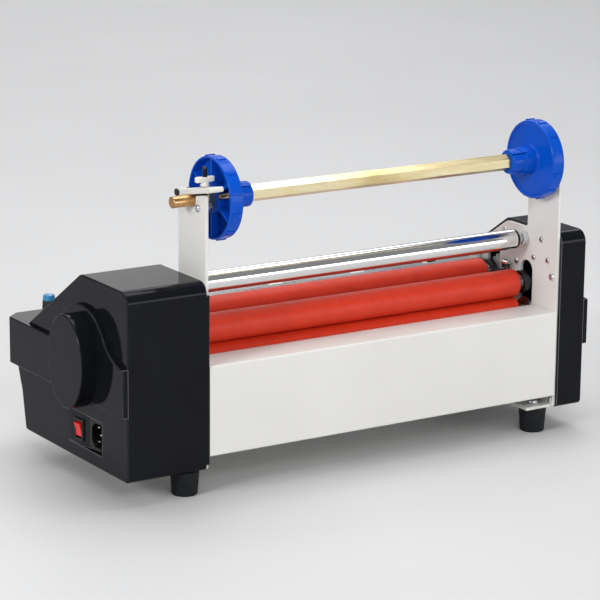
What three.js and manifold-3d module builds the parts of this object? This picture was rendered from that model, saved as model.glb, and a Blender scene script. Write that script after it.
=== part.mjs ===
// A desktop roll laminator: two steel side plates carry four silicone rollers, an idler roller and
// a supply bar with two core chucks. Plastic covers close the sides, a motor inside the left cover
// drives the lower rollers, and two spring-loaded arms press the upper rollers down.
// Units are millimetres. +X runs along the rollers, -Y is the delivery side, +Z is up.
import * as THREE from "three";
import { mergeVertices } from "three/addons/utils/BufferGeometryUtils.js";
import Module from "manifold-3d";

const wasm = await Module();
wasm.setup();

// ---------------------------------------------------------------- driving dimensions

const gap = 0.3; // clearance between pieces that seat on each other
const innerWidth = 402; // between the inner faces of the side plates
const plateThickness = 3;
const bodyHeight = 180; // underside of the covers to the top of the hood
const footHeight = 24;
const leftCoverWidth = 83.7;
const rightCoverWidth = 30.7;
const coverWall = 2.5;
const bandDepth = 5; // the raised band on the outer faces of the covers
const lipBottomZ = 5; // the lip that hides the front edge of the left side plate
const drumDepth = 17; // the round boss, measured from the band
const drumRadius = 45; // half the height of the oval drum
const drumNarrowing = 0.74; // its width along Y over its height

const noseY = 243; // rearmost face of the covers
const noseTopZ = 109;
const noseTipZ = 76;
const noseUnderZ = 62;
const hoodFlatEndY = 89.5;
const hoodFootY = 197.5; // where the slope of the hood meets the top of the nose
const plateRearY = 189;
const uprightRearY = 53;
const uprightTopZ = 261;
const flangeWidth = 30;

const rollerRadius = 14;
const rollerCoreRadius = 9;
const journalRadius = 4;
const sleeveGap = 16.5; // from the end of a silicone sleeve to the side plate
const pullY = 52.5;
const mainY = 108;
const lowerRollerZ = 93;
const nipGap = 0.3;
const slotHalfWidth = 10;
const pullSlotTopZ = 133; // centre of the round top of the slot
const mainSlotTopZ = 142;
const plateBearingRadius = slotHalfWidth - gap;

const idlerY = 56;
const idlerZ = 165.5;
const idlerRadius = 10.2;
const idlerEndGap = 13;

const armThickness = 7;
const armPlateGap = 2.5;
const armEyeRadius = 11.5;
const armBearingRadius = 8;
const armBarBottomZ = 116;
const armBarTopZ = 126;
const pivotY = 150;
const pivotZ = 118;
const pivotRadius = 3.7;
const pressureBoltY = 80;
const pressureBoltRadius = 2;
const pressureHeadZ = 134.5;

const barY = 27; // axis of the supply bar
const barZ = 252.5;
const hexAcrossFlats = 14;
const barJournalRadius = 5.5;
const barStubLength = 22; // outside the left side plate
const barHexInset = { left: 10, right: 3 }; // from the side plates to the ends of the hexagon
const chuckRadius = 40;
const chuckThickness = 14;
const chuckHubRadius = 12.4;
const chuckHubLength = 27;
const chuckFaceGap = 15; // from the left side plate to the outer face of its chuck
const rightChuckFaceGap = 6;

const panelThickness = 1.5;
const panelBottomZ = 13;
const deckZ = 100;
const tableZ = 105;
const tableFrontY = 124;
const tableRearY = 240;
const baseZ = 15;
const panFrontY = 16;
const guideRollerGap = 7; // from the rear roller to the film guide, along Y
const guideLift = 8.2; // of the guide's lower edge above the upper rollers' axes
const guideHeight = 8.5;
const guideDepth = 8;
const guideTabDepth = 14;

const gearModule = 1.25;
const driveTeeth = 28;
const pinionTeeth = 18;
const gearWidth = 8;
const gearPlateGap = 6;
const pairTeeth = 14;

const idlerShaftRadius = 4;
const footFrontY = 16;
const footRearY = 172;
const footScrewRadius = 2.5;

const clampPinY = 48;
const clampPinZ = 256.5;
const clampPinRadius = 2;
const clampBoltY = 16;
const clampBoltZ = 247;
const clampBoltRadius = 2.4;
const clampLength = 58;
const screwTilt = 14; // of the locking screw, in degrees above level

const bandBottomZ = 63;
const drumY = 81;
const drumZ = 101;
const surroundRadius = 51; // of the band round the drum
const sweepRadius = 44; // of the S-curve from the drum to the nose
const recess = { frontY: 49, rearY: 116, bottomZ: 13.5, topZ: 46, depth: 7 };
const inlet = { y: -51, z: 29.5, width: 20, height: 27, depth: 22 }; // on the floor of the recess
const rocker = { y: -19, z: 28, width: 13, height: 19, depth: 18 };
const rockerPivotDepth = 2.2;
const knobInset = 33; // from the face of the left cover
const knobY = 217;
const potShaftRadius = 3;

// ---------------------------------------------------------------- places worked out from them

const leftInner = -innerWidth / 2;
const rightInner = innerWidth / 2;
const leftOuter = leftInner - plateThickness;
const rightOuter = rightInner + plateThickness;
const leftCoverX = leftOuter - gap - leftCoverWidth;
const rightCoverX = rightOuter + gap + rightCoverWidth;
const upperRollerZ = lowerRollerZ + 2 * rollerRadius + nipGap;
const uprightFrontY = coverWall + gap; // the lip of the left cover passes in front of the plate
const deckDepth = pullY - rollerRadius - gap;
const pairModule = (2 * rollerRadius) / pairTeeth;
const lipTopZ = bodyHeight - 12;
const guideY = mainY + rollerRadius + guideRollerGap;
const guideBottomZ = upperRollerZ + guideLift;
const guideTopZ = guideBottomZ + guideHeight;
const sleeveLeft = leftInner + sleeveGap;
const sleeveRight = rightInner - sleeveGap;
const driveSpan = ((driveTeeth + pinionTeeth) * gearModule) / 2;
const motorY = (pullY + mainY) / 2;
const motorZ = lowerRollerZ + Math.sqrt(driveSpan ** 2 - ((mainY - pullY) / 2) ** 2);
const gearRight = leftOuter - gearPlateGap;
const gearLeft = gearRight - gearWidth;

// ---------------------------------------------------------------- materials

function paint(color, roughness, metalness) {
  return new THREE.MeshStandardMaterial({ color, roughness, metalness });
}

const whitePaint = paint(0xdedcd6, 0.45, 0.0);
const blackPlastic = paint(0x24252a, 0.28, 0.0);
const mattBlack = paint(0x1c1c1f, 0.6, 0.0);
const bluePlastic = paint(0x0b55d8, 0.35, 0.0);
const silicone = paint(0xd2452d, 0.5, 0.0);
const steel = paint(0x9a9a9c, 0.3, 1.0);
const chrome = paint(0xe4e4e8, 0.08, 1.0);
const yellowZinc = paint(0xc9a75a, 0.3, 1.0);
const darkSteel = paint(0x3a3a3c, 0.45, 1.0);
const brass = paint(0xc49a58, 0.3, 1.0);
const redPlastic = paint(0xd01818, 0.3, 0.0);
const rubber = paint(0x191a1f, 0.7, 0.0);
const whiteNylon = paint(0xe8e6de, 0.5, 0.0);
const greenBoard = paint(0x2c6a3c, 0.5, 0.0);
const lightBlue = paint(0x2f7fc4, 0.4, 0.0);

// ---------------------------------------------------------------- solids

function solidOf(geometry) {
  const loose = geometry.index ? geometry.toNonIndexed() : geometry;
  const bare = new THREE.BufferGeometry();
  bare.setAttribute("position", loose.getAttribute("position"));
  const merged = mergeVertices(bare, 1e-4);
  const triVerts = new Uint32Array(merged.index.array);
  const vertProperties = merged.attributes.position.array;
  return new wasm.Manifold(new wasm.Mesh({ numProp: 3, vertProperties, triVerts }));
}

function join(first, ...others) {
  return others.reduce((all, next) => all.add(next), first);
}

function cut(body, ...tools) {
  return tools.reduce((left, tool) => left.subtract(tool), body);
}

function slab(x0, x1, y0, y1, z0, z1) {
  const box = new THREE.BoxGeometry(x1 - x0, y1 - y0, z1 - z0);
  box.translate((x0 + x1) / 2, (y0 + y1) / 2, (z0 + z1) / 2);
  return solidOf(box);
}

function rodX(y, z, radius, x0, x1, sides = 16) {
  const rod = new THREE.CylinderGeometry(radius, radius, x1 - x0, sides);
  rod.rotateZ(-Math.PI / 2).translate((x0 + x1) / 2, y, z);
  return solidOf(rod);
}

function rodZ(x, y, radius, z0, z1, sides = 12, topRadius = radius) {
  const rod = new THREE.CylinderGeometry(topRadius, radius, z1 - z0, sides);
  rod.rotateX(Math.PI / 2).translate(x, y, (z0 + z1) / 2);
  return solidOf(rod);
}

function ringX(y, z, outer, inner, x0, x1, sides = 16) {
  return cut(rodX(y, z, outer, x0, x1, sides), rodX(y, z, inner, x0 - 1, x1 + 1, sides));
}

// A regular hexagonal prism along X with two flats level.
function hexX(y, z, acrossFlats, x0, x1) {
  const hex = new THREE.CylinderGeometry(acrossFlats / Math.sqrt(3), acrossFlats / Math.sqrt(3), x1 - x0, 6);
  hex.rotateZ(-Math.PI / 2).rotateX(Math.PI / 6).translate((x0 + x1) / 2, y, z);
  return solidOf(hex);
}

// Outline points in (y, z) pushed along X.
const outlineToX = new THREE.Matrix4().makeBasis(
  new THREE.Vector3(0, 1, 0),
  new THREE.Vector3(0, 0, 1),
  new THREE.Vector3(1, 0, 0),
);

function plateX(points, x0, x1) {
  const plate = new THREE.ExtrudeGeometry(new THREE.Shape(points), { depth: x1 - x0, bevelEnabled: false });
  plate.applyMatrix4(outlineToX).translate(x0, 0, 0);
  return solidOf(plate);
}

// Outline points in (x, y) pushed along Z.
function plateZ(points, z0, z1) {
  const plate = new THREE.ExtrudeGeometry(new THREE.Shape(points), { depth: z1 - z0, bevelEnabled: false });
  plate.translate(0, 0, z0);
  return solidOf(plate);
}

// A closed profile of [radius, along] points turned about an axis parallel to X.
function turnedX(profile, y, z, sides = 28) {
  const area = profile.reduce((sum, [r, a], i) => {
    const [nextR, nextA] = profile[(i + 1) % profile.length];
    return sum + r * nextA - nextR * a;
  }, 0);
  const ordered = area > 0 ? profile : [...profile].reverse();
  const points = [...ordered, ordered[0]].map(([r, a]) => new THREE.Vector2(r, a));
  const lathe = new THREE.LatheGeometry(points, sides);
  lathe.rotateZ(-Math.PI / 2).translate(0, y, z);
  return solidOf(lathe);
}

function arcPoints(cy, cz, radius, from, to, step = Math.PI / 8) {
  const count = Math.max(2, Math.ceil(Math.abs(to - from) / step));
  return Array.from({ length: count + 1 }, (_, i) => {
    const angle = from + ((to - from) * i) / count;
    return new THREE.Vector2(cy + radius * Math.cos(angle), cz + radius * Math.sin(angle));
  });
}

function circlePoints(cy, cz, radius, sides = 24) {
  return arcPoints(cy, cz, radius, 0, 2 * Math.PI, (2 * Math.PI) / sides).slice(0, -1);
}

// A counter-clockwise outline of { y, z, r } corners, each rounded to its own radius.
function rounded(corners) {
  return corners.flatMap((corner, i) => {
    const here = new THREE.Vector2(corner.y, corner.z);
    if (!corner.r) return [here];
    const before = corners[(i + corners.length - 1) % corners.length];
    const after = corners[(i + 1) % corners.length];
    const back = new THREE.Vector2(before.y, before.z).sub(here).normalize();
    const on = new THREE.Vector2(after.y, after.z).sub(here).normalize();
    const half = Math.acos(THREE.MathUtils.clamp(back.dot(on), -1, 1)) / 2;
    const start = here.clone().addScaledVector(back, corner.r / Math.tan(half));
    const end = here.clone().addScaledVector(on, corner.r / Math.tan(half));
    const centre = here.clone().addScaledVector(back.clone().add(on).normalize(), corner.r / Math.sin(half));
    const from = start.clone().sub(centre).angle();
    let sweep = end.clone().sub(centre).angle() - from;
    if (sweep > Math.PI) sweep -= 2 * Math.PI;
    if (sweep < -Math.PI) sweep += 2 * Math.PI;
    return arcPoints(centre.x, centre.y, corner.r, from, from + sweep);
  });
}

// The same corners moved inwards by a distance, with radii that keep the wall even.
function inset(corners, distance) {
  const edges = corners.map((corner, i) => {
    const next = corners[(i + 1) % corners.length];
    const along = new THREE.Vector2(next.y - corner.y, next.z - corner.z).normalize();
    return { along, y: corner.y - along.y * distance, z: corner.z + along.x * distance };
  });
  return corners.map((corner, i) => {
    const a = edges[(i + corners.length - 1) % corners.length];
    const b = edges[i];
    const turn = a.along.cross(b.along);
    const t = ((b.y - a.y) * b.along.y - (b.z - a.z) * b.along.x) / turn;
    const r = corner.r ? Math.max(0.5, corner.r - Math.sign(turn) * distance) : 0;
    return { y: a.y + a.along.x * t, z: a.z + a.along.y * t, r };
  });
}

const machine = new THREE.Group();

function piece(name, solid, material) {
  const mesh = solid.getMesh();
  const geometry = new THREE.BufferGeometry();
  geometry.setAttribute("position", new THREE.BufferAttribute(mesh.vertProperties, 3));
  geometry.setIndex(new THREE.BufferAttribute(mesh.triVerts, 1));
  const part = new THREE.Mesh(geometry, material);
  part.name = name;
  machine.add(part);
}

// ---------------------------------------------------------------- side plates

// The slot at the top of an upright that takes the journal of the supply bar.
function journalSlot(x0, x1) {
  const radius = barJournalRadius + 0.6;
  return join(
    rodX(barY, barZ, radius, x0, x1),
    slab(x0, x1, barY - radius, barY + radius, barZ, uprightTopZ + 5),
  );
}

// A vertical slot with round ends for the journals of a roller pair.
function rollerSlot(y, topZ, x0, x1) {
  return join(
    rodX(y, lowerRollerZ, slotHalfWidth, x0, x1),
    slab(x0, x1, y - slotHalfWidth, y + slotHalfWidth, lowerRollerZ, topZ),
    rodX(y, topZ, slotHalfWidth, x0, x1),
  );
}

// The pin of the clamp bar sits in an ear at the rear of the left upright, and the edge in front of
// the ear is lower, so that the bar can lie across the journal.
const clampSlope = (barZ + barJournalRadius + gap + 2.5 - clampPinZ) / (clampPinY - barY);

function platePoints(withEar) {
  const hoodDrop = 3; // the plate stays this far inside the cover's outline
  const slope = (bodyHeight - noseTopZ) / (hoodFootY - hoodFlatEndY);
  const flatZ = bodyHeight - hoodDrop;
  const slopeEndZ = flatZ - slope * (plateRearY - hoodFlatEndY + 2);
  const earFrontY = clampPinY - 8;
  const lowZ = uprightTopZ - 7.5;
  const top = withEar
    ? [
        { y: uprightRearY, z: uprightTopZ - 1, r: 2 },
        { y: earFrontY, z: uprightTopZ - 1, r: 1.5 },
        { y: earFrontY, z: lowZ, r: 0 },
        { y: uprightFrontY, z: uprightTopZ, r: 2 },
      ]
    : [
        { y: uprightRearY, z: uprightTopZ, r: 3 },
        { y: uprightFrontY, z: uprightTopZ, r: 3 },
      ];
  return rounded([
    { y: uprightFrontY, z: 0, r: 3 },
    { y: plateRearY, z: 0, r: 6 },
    { y: plateRearY, z: slopeEndZ, r: 6 },
    { y: hoodFlatEndY - 2, z: flatZ, r: 14 },
    { y: uprightRearY, z: flatZ, r: 4 },
    ...top,
  ]);
}


// flangeSide is -1 or +1: the side of the plate to which its foot flange turns.
function sidePlate(name, inner, outward, withEar) {
  const x0 = Math.min(inner, inner + outward * plateThickness);
  const x1 = x0 + plateThickness;
  const reach = [x0 - 1, x1 + 1];
  const flange = slab(x0 - flangeWidth, x0 + 0.5, uprightFrontY + 3, plateRearY - 6, 0, plateThickness);
  const footX = x0 - flangeWidth / 2;
  const inboard = -outward;
  const lugEnd = inner + inboard * 12;
  const lug = slab(
    Math.min(lugEnd, inner - inboard * 0.5),
    Math.max(lugEnd, inner - inboard * 0.5),
    pressureBoltY - 6,
    pressureBoltY + 6,
    100,
    103,
  );
  const boltX = inner + inboard * (armPlateGap + armThickness / 2);
  const body = cut(
    join(plateX(platePoints(withEar), x0, x1), flange, lug),
    journalSlot(...reach),
    rollerSlot(pullY, pullSlotTopZ, ...reach),
    rollerSlot(mainY, mainSlotTopZ, ...reach),
    rodX(idlerY, idlerZ, idlerShaftRadius + gap, ...reach),
    rodX(pivotY, pivotZ, pivotRadius + gap, ...reach),
    rodZ(boltX, pressureBoltY, pressureBoltRadius + gap, 98, 105),
    rodZ(footX, footFrontY, footScrewRadius + gap, -2, 5),
    rodZ(footX, footRearY, footScrewRadius + gap, -2, 5),
  );
  const pinned = withEar
    ? cut(
        body,
        rodX(clampPinY, clampPinZ, clampPinRadius + gap, ...reach),
        rodX(clampBoltY, clampBoltZ, clampBoltRadius + gap, ...reach),
      )
    : body;
  piece(name, pinned, whitePaint);
}


sidePlate("left_side_plate", leftInner, -1, true);
sidePlate("right_side_plate", rightInner, 1, false);

// ---------------------------------------------------------------- sheet metal between the plates

const sheetLeft = leftInner + gap;
const sheetRight = rightInner - gap;

function frontPanel() {
  const t = panelThickness;
  const outline = rounded([
    { y: 0, z: panelBottomZ, r: 1.2 },
    { y: 14, z: panelBottomZ, r: 0 },
    { y: 14, z: panelBottomZ + t, r: 0 },
    { y: t, z: panelBottomZ + t, r: 0 },
    { y: t, z: deckZ - t, r: 0 },
    { y: deckDepth, z: deckZ - t, r: 0 },
    { y: deckDepth, z: deckZ, r: 0 },
    { y: 0, z: deckZ, r: 1.8 },
  ]);
  piece("front_panel", plateX(outline, sheetLeft, sheetRight), whitePaint);
}

// One bent sheet closes the body underneath and on the operator's side.
function chassisPan() {
  const t = panelThickness;
  const rear = plateRearY - 2;
  const topZ = 96;
  const outline = [
    [panFrontY, baseZ],
    [rear, baseZ],
    [rear, topZ],
    [rear - 14, topZ],
    [rear - 14, topZ - t],
    [rear - t, topZ - t],
    [rear - t, baseZ + t],
    [panFrontY, baseZ + t],
  ].map(([y, z]) => new THREE.Vector2(y, z));
  piece("chassis_pan", plateX(outline, sheetLeft, sheetRight), whitePaint);
}

// The table in front of the feed nip, with slots for adjusting its side guides.
function feedTable() {
  const t = panelThickness;
  const lipZ = tableZ - 16;
  const outline = rounded([
    { y: tableFrontY, z: tableZ, r: 0 },
    { y: tableFrontY, z: tableZ - t, r: 0 },
    { y: tableRearY - t, z: tableZ - t, r: 0 },
    { y: tableRearY - t, z: lipZ, r: 0 },
    { y: tableRearY, z: lipZ, r: 0 },
    { y: tableRearY, z: tableZ, r: 2 },
  ]);
  const slotY = 196;
  const slots = [0.12, 0.3, 0.7, 0.88].map((share) => {
    const x = leftInner + share * innerWidth;
    return slab(x - 16, x + 16, slotY - 2.5, slotY + 2.5, tableZ - 5, tableZ + 2);
  });
  piece("feed_table", cut(plateX(outline, sheetLeft, sheetRight), ...slots), whitePaint);
}

// A polished strip behind the upper feed roller, with screwed tabs at its ends.
function filmGuide() {
  const t = panelThickness;
  const slant = t * Math.SQRT2;
  const strip = plateX(
    [
      new THREE.Vector2(guideY, guideBottomZ),
      new THREE.Vector2(guideY + slant, guideBottomZ),
      new THREE.Vector2(guideY + guideDepth, guideTopZ - slant),
      new THREE.Vector2(guideY + guideDepth, guideTopZ),
    ],
    sheetLeft,
    sheetRight,
  );
  const tabs = [sheetLeft, sheetRight - t].map((x) =>
    slab(x, x + t, guideY, guideY + guideTabDepth, guideBottomZ, guideTopZ),
  );
  piece("film_guide", join(strip, ...tabs), chrome);
}

frontPanel();
chassisPan();
feedTable();
filmGuide();

// ---------------------------------------------------------------- covers

const coverCorners = [
  { y: 0, z: 0, r: 5 },
  { y: 206, z: 0, r: 4 },
  { y: 213, z: 38, r: 20 },
  { y: 222, z: noseUnderZ, r: 4 },
  { y: 236, z: noseUnderZ, r: 9 },
  { y: noseY + 2, z: noseTipZ, r: 8 },
  { y: noseY, z: noseTopZ, r: 5 },
  { y: hoodFootY, z: noseTopZ, r: 6 },
  { y: hoodFlatEndY, z: bodyHeight, r: 16 },
  { y: 0, z: bodyHeight, r: 12 },
];

// The raised band: level below, and above it runs along the nose, round the drum and down an
// S-curve to the front edge.

function bandPoints(drop) {
  const frontZ = noseTopZ;
  const sweepCentre = new THREE.Vector2(0, frontZ + sweepRadius - drop);
  const toDrum = new THREE.Vector2(drumY, drumZ).sub(sweepCentre);
  const reach = toDrum.length();
  const round = reach - sweepRadius - drop; // the two arcs touch
  const touch = Math.atan2(toDrum.y, toDrum.x);
  const rise = Math.asin((noseTopZ - drop - drumZ) / round);
  return [
    new THREE.Vector2(0, bandBottomZ),
    new THREE.Vector2(222, bandBottomZ),
    new THREE.Vector2(236, bandBottomZ),
    new THREE.Vector2(noseY + 2 - drop, noseTipZ),
    new THREE.Vector2(noseY - drop, noseTopZ - drop),
    ...arcPoints(drumY, drumZ, round, rise, touch + Math.PI),
    ...arcPoints(sweepCentre.x, sweepCentre.y, sweepRadius + drop, touch, -Math.PI / 2).slice(1),
  ];
}

// A corner of the nose is bevelled in plan so that it doesn't stick out beside the operator.
function noseBevel(outerX, outward, depth) {
  const reach = 13 - depth;
  const corner = [
    [outerX + outward * 30, noseY + 30],
    [outerX + outward * 30, noseY - reach - 30 * (reach / 16)],
    [outerX - outward * 16, noseY + 3],
    [outerX - outward * 16, noseY + 30],
  ].map(([x, y]) => new THREE.Vector2(x, y));
  return plateZ(outward < 0 ? corner : corner.reverse(), -5, bodyHeight + 5);
}

// The outside of a cover: the full profile, the band and, on the left, the drum.
function coverOutside(outerX, innerX, outward, withDrum) {
  const x0 = Math.min(outerX, innerX);
  const x1 = Math.max(outerX, innerX);
  const bandEdge = outerX + outward * bandDepth;
  const bandRoot = outerX - outward;
  const band = plateX(bandPoints(0), Math.min(bandEdge, bandRoot), Math.max(bandEdge, bandRoot));
  const shell = join(plateX(rounded(coverCorners), x0, x1), band);
  const bevelled = cut(shell, noseBevel(outerX, outward, 0));
  return withDrum ? bevelled.add(drum(bandEdge, drumRadius, 5)) : bevelled;
}

// Narrows a round solid along Y about the drum's axis.
function oval(solid) {
  return solid.translate([0, -drumY, 0]).scale([1, drumNarrowing, 1]).translate([0, drumY, 0]);
}

// The oval drum over the motor, with a rounded rim.
function drum(baseX, radius, rim) {
  const faceX = baseX - drumDepth + (drumRadius - radius);
  const profile = [[0, baseX + 2], [0, faceX]];
  const rimArc = arcPoints(radius - rim, faceX + rim, rim, -Math.PI / 2, 0, Math.PI / 6);
  rimArc.forEach((point) => profile.push([point.x, point.y]));
  profile.push([radius, baseX + 2]);
  return oval(turnedX(profile, drumY, drumZ));
}

// The inlet and the switch sit in a wedge-shaped recess that gets deeper towards the front.
const recessTurn = Math.atan(recess.depth / (recess.rearY - recess.frontY));

function recessWedge(extra) {
  const points = [
    [leftCoverX - 20, recess.frontY - extra],
    [leftCoverX + recess.depth + extra, recess.frontY - extra],
    [leftCoverX + extra, recess.rearY + extra],
    [leftCoverX - 20, recess.rearY + extra],
  ].map(([x, y]) => new THREE.Vector2(x, y));
  return plateZ(points, recess.bottomZ - extra, recess.topZ + extra);
}

// Turns a solid from the recess's own frame (x into the cover, y along its floor) into place.
function onRecessFloor(solid) {
  return solid.rotate([0, 0, (recessTurn * 180) / Math.PI]).translate([leftCoverX, recess.rearY, 0]);
}


// A slab of a fitting's size, grown by a margin on each side, between two depths from the floor.
function fittingSlab({ y, z, width, height }, margin, x0, x1) {
  const halfY = width / 2 + margin;
  const halfZ = height / 2 + margin;
  return slab(x0, x1, y - halfY, y + halfY, z - halfZ, z + halfZ);
}

function floorHole(fitting) {
  return onRecessFloor(fittingSlab(fitting, gap, -5, 8));
}

function leftCover() {
  const plateLip = slab(leftOuter - gap - 1, leftInner, 0, coverWall, lipBottomZ, lipTopZ);
  const outside = join(coverOutside(leftCoverX, leftOuter - gap, -1, true), plateLip);
  const cavity = join(
    plateX(rounded(inset(coverCorners, coverWall)), leftCoverX + coverWall, leftOuter + 1),
    drum(leftCoverX - bandDepth, drumRadius - coverWall, 3),
    oval(rodX(drumY, drumZ, drumRadius - coverWall, leftCoverX - bandDepth, leftCoverX + coverWall + 1, 28)),
  );
  const hollow = cut(cavity, recessWedge(coverWall), noseBevel(leftCoverX + coverWall, -1, 0));
  const flangeEnd = leftOuter - flangeWidth - 1;
  const flangeRoom = slab(flangeEnd, leftOuter + 1, coverWall + 1, plateRearY, -1, coverWall + 1);
  const shell = cut(
    outside,
    hollow,
    recessWedge(0),
    flangeRoom,
    floorHole(inlet),
    floorHole(rocker),
    rodZ(knobX, knobY, potShaftRadius + 0.5, noseTopZ - 6, noseTopZ + 2),
  );
  piece("left_cover", shell, blackPlastic);
}

function rightCover() {
  const outside = coverOutside(rightCoverX, rightOuter + gap, 1, false);
  const cavity = plateX(rounded(inset(coverCorners, coverWall)), rightOuter - 1, rightCoverX - coverWall);
  const hollow = cut(cavity, noseBevel(rightCoverX - coverWall, 1, 0));
  piece("right_cover", cut(outside, hollow), blackPlastic);
}

const knobX = leftCoverX + knobInset;

leftCover();
rightCover();

// ---------------------------------------------------------------- feet

function foot(name, x, y) {
  const cone = rodZ(x, y, 12.3, -footHeight, -gap, 16, 14);
  const screw = rodZ(x, y, footScrewRadius, -gap - 0.5, plateThickness + 4);
  const nut = rodZ(x, y, 4.6, plateThickness + gap, plateThickness + gap + 3.5, 6);
  piece(name, join(cone, screw, nut), rubber);
}

const leftFootX = leftOuter - flangeWidth / 2;
const rightFootX = rightInner - flangeWidth / 2;
foot("front_left_foot", leftFootX, footFrontY);
foot("rear_left_foot", leftFootX, footRearY);
foot("front_right_foot", rightFootX, footFrontY);
foot("rear_right_foot", rightFootX, footRearY);

// ---------------------------------------------------------------- electrical pieces

// A mains inlet with a flange, a hollow shroud and three pins.
function powerInlet() {
  const { y, z, width, height, depth } = inlet;
  const flange = fittingSlab(inlet, 2, -2.2, -gap);
  const body = slab(-1, depth, y - width / 2, y + width / 2, z - height / 2, z + height / 2);
  const well = slab(-4, 16, y - width / 2 + 2, y + width / 2 - 2, z - height / 2 + 2, z + height / 2 - 2);
  const pins = [
    [y - 2, z],
    [y + 3, z - 7],
    [y + 3, z + 7],
  ].map(([py, pz]) => slab(4.5, 18, py - 2, py + 2, pz - 1, pz + 1));
  piece("power_inlet", onRecessFloor(join(cut(join(flange, body), well), ...pins)), mattBlack);
}

function powerSwitch() {
  const { y, z, width, height, depth } = rocker;
  const bezel = fittingSlab(rocker, 1.2, -1.8, -gap);
  const body = slab(-1, depth, y - width / 2, y + width / 2, z - height / 2, z + height / 2);
  const window = fittingSlab(rocker, -1.3, -4, 7);
  const terminals = [-5, 5].map((dz) => slab(depth - 1, depth + 7, y - 3, y + 3, z + dz - 0.4, z + dz + 0.4));
  piece("switch_housing", onRecessFloor(join(cut(join(bezel, body), window), ...terminals)), mattBlack);
}

// The rocker tips about an axis that runs along the floor of the recess.

function rockerButton() {
  const halfZ = rocker.height / 2 - 2.1;
  const halfY = rocker.width / 2 - 1.9;
  const outline = [
    [-rockerPivotDepth - 0.6, -halfZ + 0.4],
    [-rockerPivotDepth - 3.4, halfZ - 1.1],
    [1.2, halfZ - 0.9],
    [2.6, 0],
    [1.2, -halfZ + 0.9],
  ];
  const points = outline.map(([x, z]) => new THREE.Vector2(rockerPivotDepth + x, rocker.z + z));
  const side = new THREE.ExtrudeGeometry(new THREE.Shape(points), { depth: 2 * halfY, bevelEnabled: false });
  side.rotateX(Math.PI / 2).translate(0, rocker.y + halfY, 0);
  piece("switch_rocker", onRecessFloor(solidOf(side)), redPlastic);
}

function speedControl() {
  const top = noseTopZ;
  const body = rodZ(knobX, knobY, 8, top - coverWall - 11, top - coverWall - gap);
  const shaft = rodZ(knobX, knobY, potShaftRadius, top - coverWall - 1, top + 14);
  piece("speed_potentiometer", join(body, shaft), steel);
  const skirt = rodZ(knobX, knobY, 7, top + 0.6, top + 14, 16, 6.2);
  const cap = rodZ(knobX, knobY, 6.2, top + 14, top + 20, 16, 5.4);
  const grip = slab(knobX - 0.6, knobX + 0.6, knobY - 5.2, knobY, top + 19, top + 20.6);
  const bore = rodZ(knobX, knobY, potShaftRadius + gap, top - 1, top + 14.5);
  piece("speed_knob", cut(join(skirt, cap, grip), bore), lightBlue);
}

// The board stands on the left side plate behind the motor.
function controlBoard() {
  const x = leftOuter - 14;
  const board = slab(x - 1.6, x, 128, 186, 16, 84);
  const stands = [
    [133, 22],
    [181, 22],
    [133, 78],
  ].map(([y, z]) => rodX(y, z, 3, x - 0.5, leftOuter - gap));
  const capacitor = rodX(145, 40, 8, x - 24, x - 1);
  const transformer = slab(x - 24, x - 1, 158, 182, 24, 50);
  const heatSink = slab(x - 18, x - 1, 136, 178, 60, 66);
  piece("control_board", join(board, ...stands, capacitor, transformer, heatSink), greenBoard);
}

powerInlet();
powerSwitch();
rockerButton();
speedControl();
controlBoard();

// ---------------------------------------------------------------- drive

// Trapezoidal teeth about the pitch circle, thinned a little for backlash.
function gearPoints(y, z, teeth, size, phase) {
  const pitch = (teeth * size) / 2;
  const tip = pitch + size * 0.9;
  const root = pitch - size * 1.25;
  const half = Math.PI / (2 * teeth) - (0.12 * size) / pitch;
  const lean = Math.tan(Math.PI / 9);
  const tipHalf = half - (lean * size * 0.9) / tip;
  const rootHalf = half + (lean * size * 1.25) / root;
  return Array.from({ length: teeth }, (_, i) => phase + (i * 2 * Math.PI) / teeth).flatMap((middle) =>
    [
      [root, -rootHalf],
      [tip, -tipHalf],
      [tip, tipHalf],
      [root, rootHalf],
    ].map(([r, a]) => new THREE.Vector2(y + r * Math.cos(middle + a), z + r * Math.sin(middle + a))),
  );
}

// The phase that puts a gap of the second gear opposite a tooth of the first.
function meshPhase(teeth, phase, direction, otherTeeth) {
  const place = ((direction - phase) * teeth) / (2 * Math.PI);
  return direction + Math.PI - ((0.5 - place) * 2 * Math.PI) / otherTeeth;
}

const pinionPhase = 0;

function motor() {
  const faceX = gearLeft - 4;
  const can = rodX(motorY, motorZ, 30, leftCoverX - bandDepth - drumDepth + coverWall + 3, faceX - 29, 20);
  const gearbox = rodX(motorY, motorZ, 33, faceX - 30, faceX, 20);
  const posts = [27, -27].map((dz) => rodX(motorY, motorZ + dz, 4, faceX - 2, leftOuter - gap));
  const shaftRoom = rodX(motorY, motorZ, journalRadius + gap, faceX - 12, faceX + 1);
  piece("gear_motor", cut(join(can, gearbox, ...posts), shaftRoom), steel);
}

function motorPinion() {
  const shaft = rodX(motorY, motorZ, journalRadius, gearLeft - 12, gearRight);
  const teeth = plateX(gearPoints(motorY, motorZ, pinionTeeth, gearModule, pinionPhase), gearLeft, gearRight);
  piece("motor_pinion", join(teeth, shaft), brass);
}

function driveGear(name, y) {
  const direction = Math.atan2(lowerRollerZ - motorZ, y - motorY);
  const phase = meshPhase(pinionTeeth, pinionPhase, direction, driveTeeth);
  const teeth = plateX(gearPoints(y, lowerRollerZ, driveTeeth, gearModule, phase), gearLeft, gearRight);
  const hub = rodX(y, lowerRollerZ, 8, gearLeft, gearRight + 3);
  const bore = rodX(y, lowerRollerZ, journalRadius + gap, gearLeft - 1, gearRight + 5);
  piece(name, cut(join(teeth, hub), bore), whiteNylon);
}

const pairLeft = rightOuter + 5;
const pairRight = pairLeft + gearWidth;

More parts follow.
